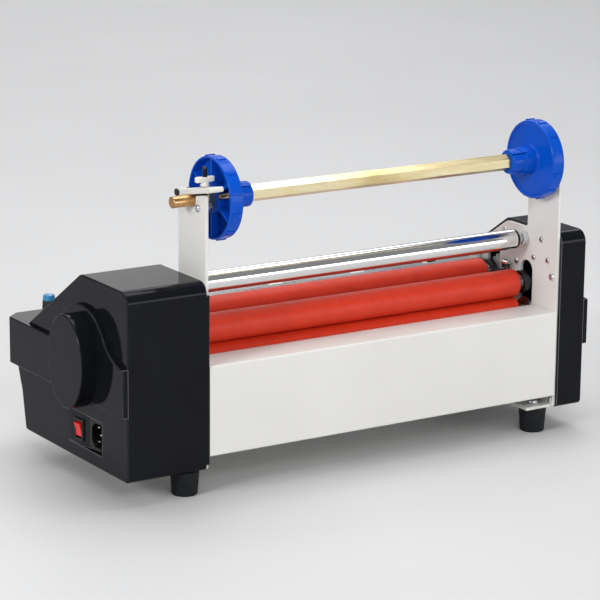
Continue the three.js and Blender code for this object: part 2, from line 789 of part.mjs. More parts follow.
// Long-toothed gears of equal size: they stay in mesh while the upper roller lifts.
function pairGear(name, z, phase) {
  const teeth = plateX(gearPoints(mainY, z, pairTeeth, pairModule, phase), pairLeft, pairRight);
  const bore = rodX(mainY, z, journalRadius + gap, pairLeft - 1, pairRight + 1);
  piece(name, cut(teeth, bore), whiteNylon);
}

motor();
motorPinion();
driveGear("pull_drive_gear", pullY);
driveGear("main_drive_gear", mainY);
pairGear("main_lower_gear", lowerRollerZ, 0);
pairGear("main_upper_gear", upperRollerZ, meshPhase(pairTeeth, 0, Math.PI / 2, pairTeeth));

// ---------------------------------------------------------------- rollers

// A steel core with journals, and a silicone sleeve bonded round it.
function roller(name, y, z, coreLeft, coreRight) {
  const core = join(
    rodX(y, z, journalRadius, coreLeft, coreRight),
    rodX(y, z, 6.5, sleeveLeft - 5, sleeveRight + 5),
    rodX(y, z, rollerCoreRadius, sleeveLeft + 1, sleeveRight - 1),
  );
  piece(name + "_core", core, steel);
  const bore = join(
    rodX(y, z, rollerCoreRadius + gap, sleeveLeft + 1 - gap, sleeveRight - 1 + gap),
    rodX(y, z, 6.5 + gap, sleeveLeft - 1, sleeveRight + 1),
  );
  piece(name + "_sleeve", cut(rodX(y, z, rollerRadius, sleeveLeft, sleeveRight, 24), bore), silicone);
}

const armLeft = leftInner + armPlateGap;
const armRight = rightInner - armPlateGap;
roller("lower_pull_roller", pullY, lowerRollerZ, gearLeft, rightOuter + 1);
roller("lower_main_roller", mainY, lowerRollerZ, gearLeft, pairRight);
roller("upper_pull_roller", pullY, upperRollerZ, armLeft - 1, armRight + 1);
roller("upper_main_roller", mainY, upperRollerZ, armLeft - 1, pairRight);

// Flanged bearings in the round lower ends of the slots, and plain ones in the eyes of the arms.
function plateBearing(name, y, inner, outward) {
  const outer = inner + outward * plateThickness;
  const flangeX = inner - outward * (gap + 1.5);
  const seat = rodX(y, lowerRollerZ, plateBearingRadius, Math.min(flangeX, outer), Math.max(flangeX, outer));
  const seatFlange = rodX(
    y,
    lowerRollerZ,
    plateBearingRadius + 2.5,
    Math.min(flangeX, inner - outward * gap),
    Math.max(flangeX, inner - outward * gap),
    28,
  );
  const bore = rodX(y, lowerRollerZ, journalRadius + gap, leftOuter - 20, rightOuter + 20);
  piece(name, cut(join(seat, seatFlange), bore), steel);
}

function armBearing(name, y, inner, outward) {
  const face = inner - outward * armPlateGap;
  const back = face - outward * armThickness;
  const [x0, x1] = [face, back].sort((a, b) => a - b);
  const ring = ringX(y, upperRollerZ, armBearingRadius, journalRadius + gap, x0, x1);
  piece(name, ring, steel);
}

[
  ["left", leftInner, -1],
  ["right", rightInner, 1],
].forEach(([side, inner, outward]) => {
  plateBearing(side + "_lower_pull_bearing", pullY, inner, outward);
  plateBearing(side + "_lower_main_bearing", mainY, inner, outward);
  armBearing(side + "_upper_pull_bearing", pullY, inner, outward);
  armBearing(side + "_upper_main_bearing", mainY, inner, outward);
});

// The idler turns on a fixed shaft whose hexagonal ends clamp it between the plates.
function idler() {
  const left = leftInner + idlerEndGap;
  const right = rightInner - idlerEndGap;
  const tube = rodX(idlerY, idlerZ, idlerRadius, left, right, 24);
  const bore = rodX(idlerY, idlerZ, idlerShaftRadius + gap, left - 1, right + 1);
  piece("idler_roller", cut(tube, bore), chrome);
  const shaft = join(
    rodX(idlerY, idlerZ, idlerShaftRadius, leftOuter - 5, rightOuter + 5),
    hexX(idlerY, idlerZ, 12, leftInner + gap, left - gap),
    hexX(idlerY, idlerZ, 12, right + gap, rightInner - gap),
  );
  piece("idler_shaft", shaft, steel);
}

idler();

// ---------------------------------------------------------------- pressure arms

function pressureArm(name, inner, outward) {
  const face = inner - outward * armPlateGap;
  const back = face - outward * armThickness;
  const x0 = Math.min(face, back);
  const x1 = Math.max(face, back);
  const middle = (x0 + x1) / 2;
  const link = [
    [mainY, upperRollerZ + 8],
    [mainY, upperRollerZ - 8],
    [pivotY, pivotZ - 7],
    [pivotY, pivotZ + 7],
  ].map(([y, z]) => new THREE.Vector2(y, z));
  const arm = join(
    rodX(pullY, upperRollerZ, armEyeRadius, x0, x1),
    rodX(mainY, upperRollerZ, armEyeRadius, x0, x1),
    slab(x0, x1, pullY, mainY, armBarBottomZ, armBarTopZ),
    plateX(link, x0, x1),
    rodX(pivotY, pivotZ, 8, x0, x1),
    rodZ(middle, pressureBoltY, 5.4, armBarBottomZ, armBarTopZ),
  );
  const bores = [pullY, mainY].map((y) => rodX(y, upperRollerZ, armBearingRadius + gap, x0 - 1, x1 + 1));
  const pivot = rodX(pivotY, pivotZ, pivotRadius + gap, x0 - 1, x1 + 1);
  const boltHole = rodZ(middle, pressureBoltY, pressureBoltRadius + 1, armBarBottomZ - 2, armBarTopZ + 2);
  piece(name + "_pressure_arm", cut(arm, ...bores, pivot, boltHole), darkSteel);

  const headX = back - outward * (gap + 3);
  const tail = inner + outward * (plateThickness + 3);
  const pin = join(
    rodX(pivotY, pivotZ, pivotRadius, Math.min(headX, tail), Math.max(headX, tail)),
    rodX(pivotY, pivotZ, 6, Math.min(headX, headX + outward * 3), Math.max(headX, headX + outward * 3)),
  );
  piece(name + "_arm_pivot_pin", pin, steel);

  const bolt = join(
    rodZ(middle, pressureBoltY, pressureBoltRadius, 95, pressureHeadZ + 1),
    rodZ(middle, pressureBoltY, 5, pressureHeadZ, pressureHeadZ + 3.5),
    rodZ(middle, pressureBoltY, 4, 95, 100 - gap, 6),
    rodZ(middle, pressureBoltY, 4, 103 + gap, 106, 6),
  );
  piece(name + "_pressure_bolt", bolt, chrome);

  const spring = cut(
    rodZ(middle, pressureBoltY, 4.9, armBarTopZ + gap, pressureHeadZ - gap),
    rodZ(middle, pressureBoltY, 3.4, armBarTopZ - 1, pressureHeadZ + 1),
  );
  piece(name + "_pressure_spring", spring, mattBlack);
}

pressureArm("left", leftInner, -1);
pressureArm("right", rightInner, 1);

// ---------------------------------------------------------------- supply bar and chucks

const hexLeft = leftInner + barHexInset.left;
const hexRight = rightInner - barHexInset.right;

function supplyBar() {
  const bar = join(
    hexX(barY, barZ, hexAcrossFlats, hexLeft, hexRight),
    rodX(barY, barZ, barJournalRadius, leftOuter - barStubLength, hexLeft + 1),
    rodX(barY, barZ, barJournalRadius, hexRight - 1, rightOuter + 5),
  );
  piece("supply_bar", bar, yellowZinc);
}

// faceX is the outer face; inward points from it towards the middle of the bar.
function chuck(faceX, inward) {
  const at = (distance) => faceX + inward * distance;
  const rimInside = chuckRadius - 3;
  const bossRadius = 15;
  const floor = chuckThickness - 3;
  const profile = [
    [4, at(1.5)],
    [bossRadius, at(1.5)],
    [bossRadius, at(floor)],
    [rimInside, at(floor - 1)],
    [rimInside, at(0)],
    [chuckRadius, at(0)],
    [chuckRadius, at(chuckThickness)],
    [rimInside - 2, at(chuckThickness)],
    [rimInside - 5, at(chuckThickness - 1)],
    [chuckHubRadius + 1.2, at(chuckThickness)],
    [chuckHubRadius + 0.4, at(chuckThickness + 12)],
    [chuckHubRadius, at(chuckThickness + 12.5)],
    [chuckHubRadius - 0.6, at(chuckThickness + chuckHubLength)],
    [4, at(chuckThickness + chuckHubLength)],
  ];
  const lowX = Math.min(at(1.8), at(floor + 0.5));
  const highX = Math.max(at(1.8), at(floor + 0.5));
  const ribs = Array.from({ length: 6 }, (_, i) => {
    const rib = slab(lowX, highX, bossRadius - 1, rimInside + 1, -0.9, 0.9);
    return rib.rotate([30 + i * 60, 0, 0]).translate([0, barY, barZ]);
  });
  const bore = hexX(barY, barZ, hexAcrossFlats + 2 * gap, Math.min(at(-2), at(60)), Math.max(at(-2), at(60)));
  return cut(join(turnedX(profile, barY, barZ), ...ribs), bore);
}

const leftChuckFace = leftInner + chuckFaceGap;
const rightChuckFace = rightInner - rightChuckFaceGap;
const screwX = leftChuckFace + 5;

// A solid drawn along +Z, swung to the direction of the locking screw.
function alongScrew(solid) {
  return solid.rotate([90 - screwTilt, 0, 0]).translate([screwX, barY, barZ]);
}

supplyBar();
piece("left_chuck", cut(chuck(leftChuckFace, 1), alongScrew(rodZ(0, 0, 3.2 + gap, 5, 34))), bluePlastic);
piece("right_chuck", chuck(rightChuckFace, -1), bluePlastic);

function lockingScrew() {
  const barrel = rodZ(0, 0, 3.2, 9.5, 32);
  const socket = rodZ(0, 0, 1.7, 29, 33, 6);
  piece("chuck_locking_screw", alongScrew(cut(barrel, socket)), yellowZinc);
}

lockingScrew();

// ---------------------------------------------------------------- brake on the left upright

const clampLeft = leftOuter - gap - 3;
const clampRight = leftInner + 8;
const studX = leftInner + 3.8;
const clampAngle = Math.atan(clampSlope);

// A point on the clamp bar, by distance from its pin and height above its middle line.
function onClamp(along, across) {
  const y = clampPinY - along * Math.cos(clampAngle) + across * Math.sin(clampAngle);
  const z = clampPinZ + along * Math.sin(clampAngle) + across * Math.cos(clampAngle);
  return new THREE.Vector2(y, z);
}

function clampBar() {
  const strip = [onClamp(clampLength, -2.5), onClamp(0, -2.5), onClamp(0, 2.5), onClamp(clampLength, 2.5)];
  const eye = rodX(clampPinY, clampPinZ, 4.5, clampLeft, leftInner + gap + 3);
  const front = onClamp(clampLength, 0);
  const nose = rodX(front.x, front.y, 2.5, clampLeft, clampRight);
  const body = join(plateX(strip, clampLeft, clampRight), eye, nose);
  const roundPin = [clampPinY - 9, clampPinY + 9, clampPinZ - 12, clampPinZ + 12];
  const earRoom = slab(leftOuter - gap, leftInner + gap, ...roundPin);
  const inboardTrim = slab(leftInner + gap + 3, clampRight + 1, ...roundPin);
  const pinHole = rodX(clampPinY, clampPinZ, clampPinRadius + gap, clampLeft - 1, clampRight + 1);
  const slotY = [clampBoltY - 5, clampBoltY + 7];
  const studSlot = slab(studX - 3.1, studX + 3.1, ...slotY, clampPinZ - 8, clampPinZ + 20);
  piece("clamp_bar", cut(body, earRoom, inboardTrim, pinHole, studSlot), steel);
}

function clampPin() {
  const pin = join(
    rodX(clampPinY, clampPinZ, clampPinRadius, clampLeft - 2, leftInner + gap + 5),
    rodX(clampPinY, clampPinZ, 3.6, clampLeft - 2, clampLeft - gap),
    rodX(clampPinY, clampPinZ, 3.6, leftInner + 2 * gap + 3, leftInner + gap + 5),
  );
  piece("clamp_pivot_pin", pin, steel);
}

const studTopZ = clampBoltZ + 38;

function clampStud() {
  const eye = rodX(clampBoltY, clampBoltZ, 5, studX - 2.6, studX + 2.6);
  const stud = rodZ(studX, clampBoltY, 2.3, clampBoltZ, studTopZ);
  const hole = rodX(clampBoltY, clampBoltZ, clampBoltRadius + gap, studX - 4, studX + 4);
  piece("brake_stud", cut(join(eye, stud), hole), darkSteel);
}

function clampBolt() {
  const nutStart = studX + 2.6 + gap;
  const bolt = join(
    rodX(clampBoltY, clampBoltZ, clampBoltRadius, leftOuter - 2.5, nutStart + 3.4),
    rodX(clampBoltY, clampBoltZ, 3.6, leftOuter - 2.8, leftOuter - gap),
    hexX(clampBoltY, clampBoltZ, 7.5, nutStart, nutStart + 3.2),
  );
  piece("brake_bolt", bolt, chrome);
}

const nutBottomZ = onClamp((clampPinY - clampBoltY) / Math.cos(clampAngle), 2.5).y + 1.2;

function wingNut() {
  const neck = rodZ(studX, clampBoltY, 4.4, nutBottomZ, nutBottomZ + 4.5, 12, 3.6);
  const wings = slab(studX - 10, studX + 10, clampBoltY - 3, clampBoltY + 3, nutBottomZ + 4, nutBottomZ + 9);
  const bore = rodZ(studX, clampBoltY, 2.3 + gap, nutBottomZ - 1, nutBottomZ + 10);
  piece("brake_wing_nut", cut(join(neck, wings), bore), whiteNylon);
}

function brakeSpring() {
  const top = onClamp((clampPinY - clampBoltY) / Math.cos(clampAngle), -2.5).y - 1.4;
  const coil = cut(
    rodZ(studX, clampBoltY, 3.5, clampBoltZ + 5 + gap, top),
    rodZ(studX, clampBoltY, 2.6, clampBoltZ, top + 1),
  );
  piece("brake_spring", coil, mattBlack);
}

clampBar();
clampPin();
clampStud();
clampBolt();
wingNut();
brakeSpring();

// ---------------------------------------------------------------- frame of the part

// The origin is under the middle of the machine, on the surface it stands on.
const outerLeft = leftCoverX - bandDepth - drumDepth;
const outerRight = rightCoverX + bandDepth;
const outerFront = barY - chuckRadius;
const outerRear = noseY + 1.84;
machine.position.set(-(outerLeft + outerRight) / 2, -(outerFront + outerRear) / 2, footHeight);

export default machine;
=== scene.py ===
"""Looks of the roll laminator: every visible piece is rebuilt as a fine mesh round the fixed CAD frame.

Lengths in the dimension block are millimetres in the machine's own frame: y from the face of the
front panel, z from the underside of the covers, x from the inner face of the left side plate.
"""

import math

import bmesh
import bpy
from mathutils import Matrix, Vector


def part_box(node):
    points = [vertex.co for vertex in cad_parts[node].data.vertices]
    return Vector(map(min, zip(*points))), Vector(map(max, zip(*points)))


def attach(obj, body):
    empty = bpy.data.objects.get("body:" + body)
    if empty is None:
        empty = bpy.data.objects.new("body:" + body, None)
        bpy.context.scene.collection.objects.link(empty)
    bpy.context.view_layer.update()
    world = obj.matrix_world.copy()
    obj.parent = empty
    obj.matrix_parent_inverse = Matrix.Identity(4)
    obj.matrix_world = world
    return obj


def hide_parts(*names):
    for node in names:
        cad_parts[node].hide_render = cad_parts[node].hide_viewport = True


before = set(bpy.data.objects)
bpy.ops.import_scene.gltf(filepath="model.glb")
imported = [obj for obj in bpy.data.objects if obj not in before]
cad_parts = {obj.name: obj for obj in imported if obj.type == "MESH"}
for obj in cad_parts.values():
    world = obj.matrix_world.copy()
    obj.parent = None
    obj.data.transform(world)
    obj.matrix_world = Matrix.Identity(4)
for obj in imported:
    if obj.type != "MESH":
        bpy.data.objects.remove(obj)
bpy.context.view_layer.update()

# ---- frame and dimensions

MM = 0.001
GAP = 0.3
PLATE = 3.0
WALL = 2.5

panel_low, panel_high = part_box("front_panel")
ORIGIN = Vector((panel_low.x - GAP * MM, panel_low.y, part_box("left_cover")[0].z))


def to_machine(point):
    """A point of the frame in the machine's millimetres."""
    return (Vector(point) - ORIGIN) / MM


def machine_box(node):
    low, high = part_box(node)
    return to_machine(low), to_machine(high)


def axis_of(node):
    """(y, z) of the middle of a node that is round about X."""
    low, high = machine_box(node)
    return (low.y + high.y) / 2, (low.z + high.z) / 2


LEFT_IN = 0.0
RIGHT_IN = to_machine(panel_high).x + GAP
LEFT_OUT = LEFT_IN - PLATE
RIGHT_OUT = RIGHT_IN + PLATE
HEIGHT = machine_box("left_cover")[1].z
NOSE_Y = 243.0
NOSE_TOP = 109.0
BAND = 5.0
DRUM_DEPTH = 17.0
DRUM_R = 45.0
DRUM_AT = (81.0, 101.0)
DRUM_NARROWING = 0.74
LEFT_FACE = machine_box("left_cover")[0].x + BAND + DRUM_DEPTH
RIGHT_FACE = machine_box("right_cover")[1].x - BAND

LOW_MAIN = axis_of("lower_main_roller_sleeve")
LOW_PULL = axis_of("lower_pull_roller_sleeve")
UP_MAIN = axis_of("upper_main_roller_sleeve")
UP_PULL = axis_of("upper_pull_roller_sleeve")
IDLER = axis_of("idler_roller")
PIVOT = axis_of("left_arm_pivot_pin")
BAR = axis_of("right_chuck")

# ---- materials


class Look:
    """A Principled material with helpers for its procedural detail."""

    def __init__(self, name, color, roughness, metallic=0.0, **sockets):
        self.material = bpy.data.materials.new(name)
        self.material.use_nodes = True
        self.tree = self.material.node_tree
        self.shader = self.tree.nodes["Principled BSDF"]
        self.color = color
        self.set(self.shader, Base_Color=(*color, 1), Roughness=roughness, Metallic=metallic, **sockets)

    def set(self, node, **inputs):
        """Gives inputs of a node their values. An underscore in a name stands for a space."""
        for socket, value in inputs.items():
            node.inputs[socket.replace("_", " ")].default_value = value
        return node

    def add(self, kind, **inputs):
        return self.set(self.tree.nodes.new("ShaderNode" + kind), **inputs)

    def link(self, source, node, socket):
        self.tree.links.new(source, node.inputs[socket])

    def noise(self, scale, detail=3.0, stretch=(1, 1, 1)):
        """Noise over the piece's own coordinates."""
        mapping = self.add("Mapping", Scale=stretch)
        self.link(self.add("TexCoord").outputs["Object"], mapping, "Vector")
        node = self.add("TexNoise", Scale=scale, Detail=detail)
        self.link(mapping.outputs["Vector"], node, "Vector")
        return node.outputs["Fac"]

    def ranged(self, factor, low, high):
        """The middle of a noise's range spread from low to high."""
        node = self.add("MapRange", From_Min=0.3, From_Max=0.7, To_Min=low, To_Max=high)
        self.link(factor, node, "Value")
        return node.outputs["Result"]

    def color_mix(self, factor):
        """A mix that feeds the base colour."""
        mix = self.tree.nodes.new("ShaderNodeMix")
        mix.data_type = "RGBA"
        self.link(factor, mix, "Factor")
        self.link(mix.outputs["Result"], self.shader, "Base Color")
        return mix

    def mottle(self, noise, other):
        """Colour that wanders between the base colour and another."""
        self.set(self.color_mix(self.ranged(noise, 0.0, 1.0)), A=(*self.color, 1), B=(*other, 1))

    def paint_edge_highlight(self, tone, radius):
        """Lightens the colour where the surface turns within a radius: a painted highlight standing in for
        the light that rounded edges catch.
        """
        soft = self.add("Bevel", Radius=radius)
        soft.samples = 6
        match = self.tree.nodes.new("ShaderNodeVectorMath")
        match.operation = "DOT_PRODUCT"
        self.link(soft.outputs["Normal"], match, 0)
        self.link(self.add("NewGeometry").outputs["Normal"], match, 1)
        reach = self.add("MapRange", From_Min=0.995, From_Max=0.93)
        self.link(match.outputs["Value"], reach, "Value")
        base = self.shader.inputs["Base Color"].links[0].from_socket
        mix = self.color_mix(reach.outputs["Result"])
        self.link(base, mix, "A")
        self.set(mix, B=(tone, tone, tone * 1.03, 1))

    def vary_roughness(self, noise, low, high):
        self.link(self.ranged(noise, low, high), self.shader, "Roughness")

    def bump(self, height, strength, distance):
        """The last step of a material, which it returns."""
        node = self.add("Bump", Strength=strength, Distance=distance)
        self.link(height, node, "Height")
        self.link(node.outputs["Normal"], self.shader, "Normal")
        return self.material


def powder_coat(name, color, darker):
    """Satin powder coat: fine orange peel and a faint drift of tone."""
    look = Look(name, color, 0.42, Coat_Weight=0.15, Coat_Roughness=0.3)
    look.mottle(look.noise(9, 4), darker)
    look.vary_roughness(look.noise(60, 3), 0.36, 0.5)
    return look.bump(look.noise(1500, 2), 0.12, 0.0002)


def gloss_plastic(name, color, lighter, rough=(0.12, 0.2), edge=0.0, **sockets):
    """Glossy moulded plastic with handling haze, a very slight ripple and a painted highlight that lightens
    its edges.
    """
    look = Look(name, color, rough[0], **sockets)
    look.mottle(look.noise(30, 5), lighter)
    # Painted highlight: edge is the grey that the rounded edges are lightened towards.
    if edge > 0:
        look.paint_edge_highlight(edge, 1.2 * MM)
    look.vary_roughness(look.noise(14, 5), *rough)
    return look.bump(look.noise(35, 2), 0.05, 0.0008)


def grained_plastic(name, color, lighter, rough=(0.45, 0.62), specular=0.4):
    """Matt moulded plastic or rubber with a fine grain."""
    look = Look(name, color, rough[0], Specular_IOR_Level=specular)
    look.mottle(look.noise(120, 4), lighter)
    look.vary_roughness(look.noise(200, 3), *rough)
    return look.bump(look.noise(2200, 3), 0.35, 0.0002)


def silicone_rubber():
    """Ground silicone: a soft sheen, faint grinding rings and a dusting of lighter specks."""
    look = Look("silicone", (0.62, 0.036, 0.010), 0.5, Specular_IOR_Level=0.3)
    look.set(look.shader, Subsurface_Weight=0.06, Subsurface_Radius=(0.004, 0.001, 0.0005))
    look.mottle(look.noise(70, 6), (0.55, 0.028, 0.008))
    rings = look.noise(260, 3, (1, 0.04, 0.04))
    look.vary_roughness(rings, 0.44, 0.58)
    return look.bump(rings, 0.12, 0.0003)


def polished(name, color, rough, stretch, depth=0.03):
    """Polished or plated metal with fine drawn lines along one direction."""
    look = Look(name, color, rough[0], 1.0)
    lines = look.noise(350, 4, stretch)
    look.mottle(look.noise(25, 4), tuple(c * 0.9 for c in color))
    look.vary_roughness(lines, *rough)
    return look.bump(lines, depth, 0.0002)


def turned_steel(name, color, rough=(0.22, 0.38)):
    """Steel with the fine rings that a lathe leaves."""
    look = Look(name, color, rough[0], 1.0)
    rings = look.noise(900, 3, (1, 0.03, 0.03))
    look.mottle(look.noise(40, 5), tuple(c * 0.8 for c in color))
    look.vary_roughness(rings, *rough)
    return look.bump(rings, 0.1, 0.0002)


def yellow_zinc():
    """Drawn bar with iridescent yellow zinc plating."""
    look = Look("yellow_zinc", (0.60, 0.42, 0.13), 0.22, 1.0)
    drift = look.noise(22, 5, (0.6, 2, 2))
    ramp = look.add("ValToRGB")
    tones = [
        (0.30, (0.56, 0.44, 0.22, 1)),
        (0.45, (0.72, 0.60, 0.34, 1)),
        (0.58, (0.76, 0.68, 0.44, 1)),
        (0.72, (0.64, 0.48, 0.26, 1)),
    ]
    ramp.color_ramp.elements[0].position, ramp.color_ramp.elements[0].color = tones[0]
    ramp.color_ramp.elements[1].position, ramp.color_ramp.elements[1].color = tones[-1]
    for place, tone in tones[1:-1]:
        ramp.color_ramp.elements.new(place).color = tone
    look.link(drift, ramp, "Fac")
    look.link(ramp.outputs["Color"], look.shader, "Base Color")
    lines = look.noise(700, 3, (0.02, 1, 1))
    look.vary_roughness(lines, 0.14, 0.26)
    return look.bump(lines, 0.03, 0.0002)


WHITE = powder_coat("white_paint", (0.72, 0.71, 0.675), (0.68, 0.67, 0.64))
# The black plastic's edges carry a painted highlight, lightened towards a grey of 0.16.
BLACK = gloss_plastic(
    "black_plastic",
    (0.0050, 0.0054, 0.0072),
    (0.0070, 0.0076, 0.0100),
    (0.05, 0.11),
    0.16,
    Specular_IOR_Level=0.1,
)
MOULDING = gloss_plastic(
    "black_moulding", (0.004, 0.004, 0.005), (0.007, 0.007, 0.008), (0.28, 0.4), Specular_IOR_Level=0.3
)
BLUE = gloss_plastic(
    "blue_plastic", (0.0004, 0.066, 0.45), (0.0008, 0.078, 0.52), (0.2, 0.3), Specular_IOR_Level=0.15
)
RED = gloss_plastic("red_plastic", (0.62, 0.010, 0.012), (0.70, 0.018, 0.016), (0.18, 0.26))
KNOB_BLACK = grained_plastic("knob_plastic", (0.012, 0.012, 0.013), (0.018, 0.018, 0.02))
KNOB_BLUE = gloss_plastic("knob_blue", (0.02, 0.20, 0.42), (0.03, 0.24, 0.48), (0.3, 0.42))
NYLON = gloss_plastic("white_nylon", (0.72, 0.71, 0.66), (0.66, 0.65, 0.60), (0.4, 0.5))
SILICONE = silicone_rubber()
RUBBER = grained_plastic("rubber", (0.004, 0.005, 0.006), (0.007, 0.008, 0.010), (0.5, 0.68), 0.2)
STEEL = turned_steel("turned_steel", (0.52, 0.51, 0.50))
CHROME = polished("chrome", (0.78, 0.775, 0.77), (0.06, 0.12), (0.05, 1, 1), 0.0)
SATIN = polished("satin_aluminium", (0.82, 0.81, 0.80), (0.22, 0.34), (0.05, 1, 1), 0.02)
BRIGHT = polished("bright_zinc", (0.70, 0.72, 0.76), (0.18, 0.3), (1, 1, 1))
WHITE_SCREW = polished("plated_screw", (0.62, 0.61, 0.59), (0.25, 0.4), (1, 1, 1))
DARK = turned_steel("dark_steel", (0.055, 0.055, 0.06), (0.32, 0.5))
ZINC = yellow_zinc()
BRASS = turned_steel("brass", (0.62, 0.36, 0.16), (0.2, 0.34))
BOARD = gloss_plastic("circuit_board", (0.012, 0.10, 0.035), (0.02, 0.14, 0.05), (0.3, 0.45))

# ---- mesh helpers


def rounded(corners, steps=6):
    """Points of a closed outline whose corners (a, b, radius) are rounded with a fixed number of steps."""
    points = []
    for i, (a, b, radius) in enumerate(corners):
        here = Vector((a, b))
        if radius <= 0:
            points.append(here)
            continue
        back = (Vector(corners[i - 1][:2]) - here).normalized()
        on = (Vector(corners[(i + 1) % len(corners)][:2]) - here).normalized()
        half = math.acos(max(-1.0, min(1.0, back.dot(on)))) / 2
        reach = radius / math.tan(half)
        centre = here + (back + on).normalized() * (radius / math.sin(half))
        start = here + back * reach - centre
        end = here + on * reach - centre
        first = math.atan2(start.y, start.x)
        sweep = (math.atan2(end.y, end.x) - first + math.pi) % (2 * math.pi) - math.pi
        for k in range(steps + 1):
            angle = first + sweep * k / steps
            points.append(centre + Vector((math.cos(angle), math.sin(angle))) * radius)
    return points


def shifted(points, distance):
    """A counter-clockwise outline moved inwards by a distance, point by point."""
    moved = []
    for i, here in enumerate(points):
        before, after = points[i - 1], points[(i + 1) % len(points)]
        a, b = (here - before).normalized(), (after - here).normalized()
        normal = Vector((-(a.y + b.y), a.x + b.x))
        if normal.length < 1e-9:
            normal = Vector((-a.y, a.x))
        normal.normalize()
        lean = max(0.35, normal.dot(Vector((-a.y, a.x))))
        moved.append(here + normal * (distance / lean))
    return moved


def rectangle(u, v, radius, steps=6):
    """A rounded rectangle from two (low, high) pairs."""
    corners = [(u[0], v[0], radius), (u[1], v[0], radius), (u[1], v[1], radius), (u[0], v[1], radius)]
    return rounded(corners, steps)


def circle(y, z, radius, count=48, start=0.0):
    turns = [start + 2 * math.pi * k / count for k in range(count)]
    return [Vector((y + radius * math.cos(t), z + radius * math.sin(t))) for t in turns]


def along_x(u, v, w):
    """Outline (u, v) in the YZ plane at x = w."""
    return Vector((w, u, v))


def along_z(u, v, w):
    """Outline (u, v) in the XY plane at z = w."""
    return Vector((u, v, w))


def quarter(steps):
    """Angles from 0 to a right angle."""
    return [math.pi / 2 * k / steps for k in range(steps + 1)]


def skin(rings, closed=False):
    """A mesh through rings of equal length, with caps, or closed on itself."""
    bm = bmesh.new()
    made = [[bm.verts.new(ORIGIN + p * MM) for p in ring] for ring in rings]
    pairs = list(zip(made, made[1:])) + ([(made[-1], made[0])] if closed else [])
    for lower, upper in pairs:
        for i in range(len(lower)):
            bm.faces.new((lower[i - 1], lower[i], upper[i], upper[i - 1]))
    if not closed:
        bm.faces.new(made[0])
        bm.faces.new(reversed(made[-1]))
    bmesh.ops.remove_doubles(bm, verts=bm.verts, dist=1e-7)
    bmesh.ops.dissolve_degenerate(bm, edges=bm.edges, dist=1e-8)
    loose = [edge for edge in bm.edges if not edge.link_faces]
    bmesh.ops.delete(bm, geom=loose, context="EDGES")
    bmesh.ops.recalc_face_normals(bm, faces=bm.faces)
    return bm


def prism(outline, low, high, edge=0.0, place=along_x):
    """An extruded outline whose end edges are rounded by a radius."""
    levels = [(low, 0.0), (high, 0.0)]
    if edge > 0:
        turns = quarter(3)
        lower = [(low + edge * (1 - math.sin(t)), edge * (1 - math.cos(t))) for t in reversed(turns)]
        upper = [(high - edge * (1 - math.sin(t)), edge * (1 - math.cos(t))) for t in turns]
        levels = lower + upper
    rings = [[place(p.x, p.y, w) for p in shifted(outline, inset)] for w, inset in levels]
    return skin(rings)


def soft_edged(outline, outer, inner, outward, edge):
    """An extruded outline whose outer end is rounded and whose inner end is sharp."""
    levels = []
    for t in reversed(quarter(4)):
        levels.append((outer - outward * edge * (1 - math.sin(t)), edge * (1 - math.cos(t))))
    levels.append((inner, 0.0))
    return skin([[along_x(p.x, p.y, w) for p in shifted(outline, inset)] for w, inset in levels])


def block(x, y, z, edge=0.0):
    """A box from three (low, high) pairs, with rounded edges."""
    return prism(rectangle(y, z, edge, 3), *x, edge)


def turned(corners, y, z, count=64, fillet_steps=3, place=None):
    """A closed profile of (radius, along, fillet) corners turned about an axis along X."""
    profile = rounded([(along, radius, fillet) for radius, along, fillet in corners], fillet_steps)

    def about_x(along, radius, t):
        return Vector((along, y + radius * math.cos(t), z + radius * math.sin(t)))

    put = place or about_x
    rings = []
    for k in range(count):
        t = 2 * math.pi * k / count
        rings.append([put(p.x, max(p.y, 0.0), t) for p in profile])
    return skin(rings, closed=True)


def turned_z(corners, x, y, count=48):
    """The same about an axis along Z: along is the height."""

    def about_z(along, radius, t):
        return Vector((x + radius * math.cos(t), y + radius * math.sin(t), along))

    return turned(corners, 0, 0, count, place=about_z)


def mirrored(half, low, high):
    """A profile of (radius, distance from the end, fillet) steps at its low end and again at its high end."""
    first = [(radius, low + inset, fillet) for radius, inset, fillet in half]
    return first + [(radius, high - inset, fillet) for radius, inset, fillet in reversed(half)]


def rod(y, z, radius, low, high, chamfer=0.4, count=48):
    return turned(mirrored([(0, 0, 0), (radius, 0, chamfer)], low, high), y, z, count)


def rod_z(x, y, radius, low, high, chamfer=0.4, count=40):
    return turned_z(mirrored([(0, 0, 0), (radius, 0, chamfer)], low, high), x, y, count)


def tube(y, z, outer, inner, low, high, chamfer=0.5, count=64):
    return turned(mirrored([(inner, 0, chamfer), (outer, 0, chamfer)], low, high), y, z, count)


def hexagon(y, z, across, turn=0.0):
    return circle(y, z, across / math.sqrt(3), 6, turn)


def coil(x, y, low, high, radius, wire, turns, count=10):
    """A compression spring standing along Z with closed ends."""
    up = Vector((0, 0, 1))
    steps = int(turns * 20)
    rings = []
    for k in range(steps + 1):
        share = k / steps
        ease = min(1.0, max(0.0, (share * turns - 0.9) / (turns - 1.8)))
        angle = 2 * math.pi * turns * share
        height = low + wire / 2 + (high - low - wire) * ease
        out = Vector((math.cos(angle), math.sin(angle), 0))
        centre = Vector((x, y, height)) + out * (radius - wire / 2)
        turns_round = [2 * math.pi * j / count for j in range(count)]
        ring = [centre + (out * math.cos(t) + up * math.sin(t)) * wire / 2 for t in turns_round]
        rings.append(ring)
    return skin(rings)


def moved(bm, matrix):
    """The mesh turned or moved about the machine's origin, in millimetres."""
    frame_change = Matrix.Translation(ORIGIN) @ Matrix.Scale(MM, 4)
    bmesh.ops.transform(bm, matrix=frame_change @ matrix @ frame_change.inverted(), verts=bm.verts)
    return bm


def as_object(bm, name):
    mesh = bpy.data.meshes.new(name)
    bm.to_mesh(mesh)
    bm.free()
    made = bpy.data.objects.new(name, mesh)
    bpy.context.scene.collection.objects.link(made)
    return made


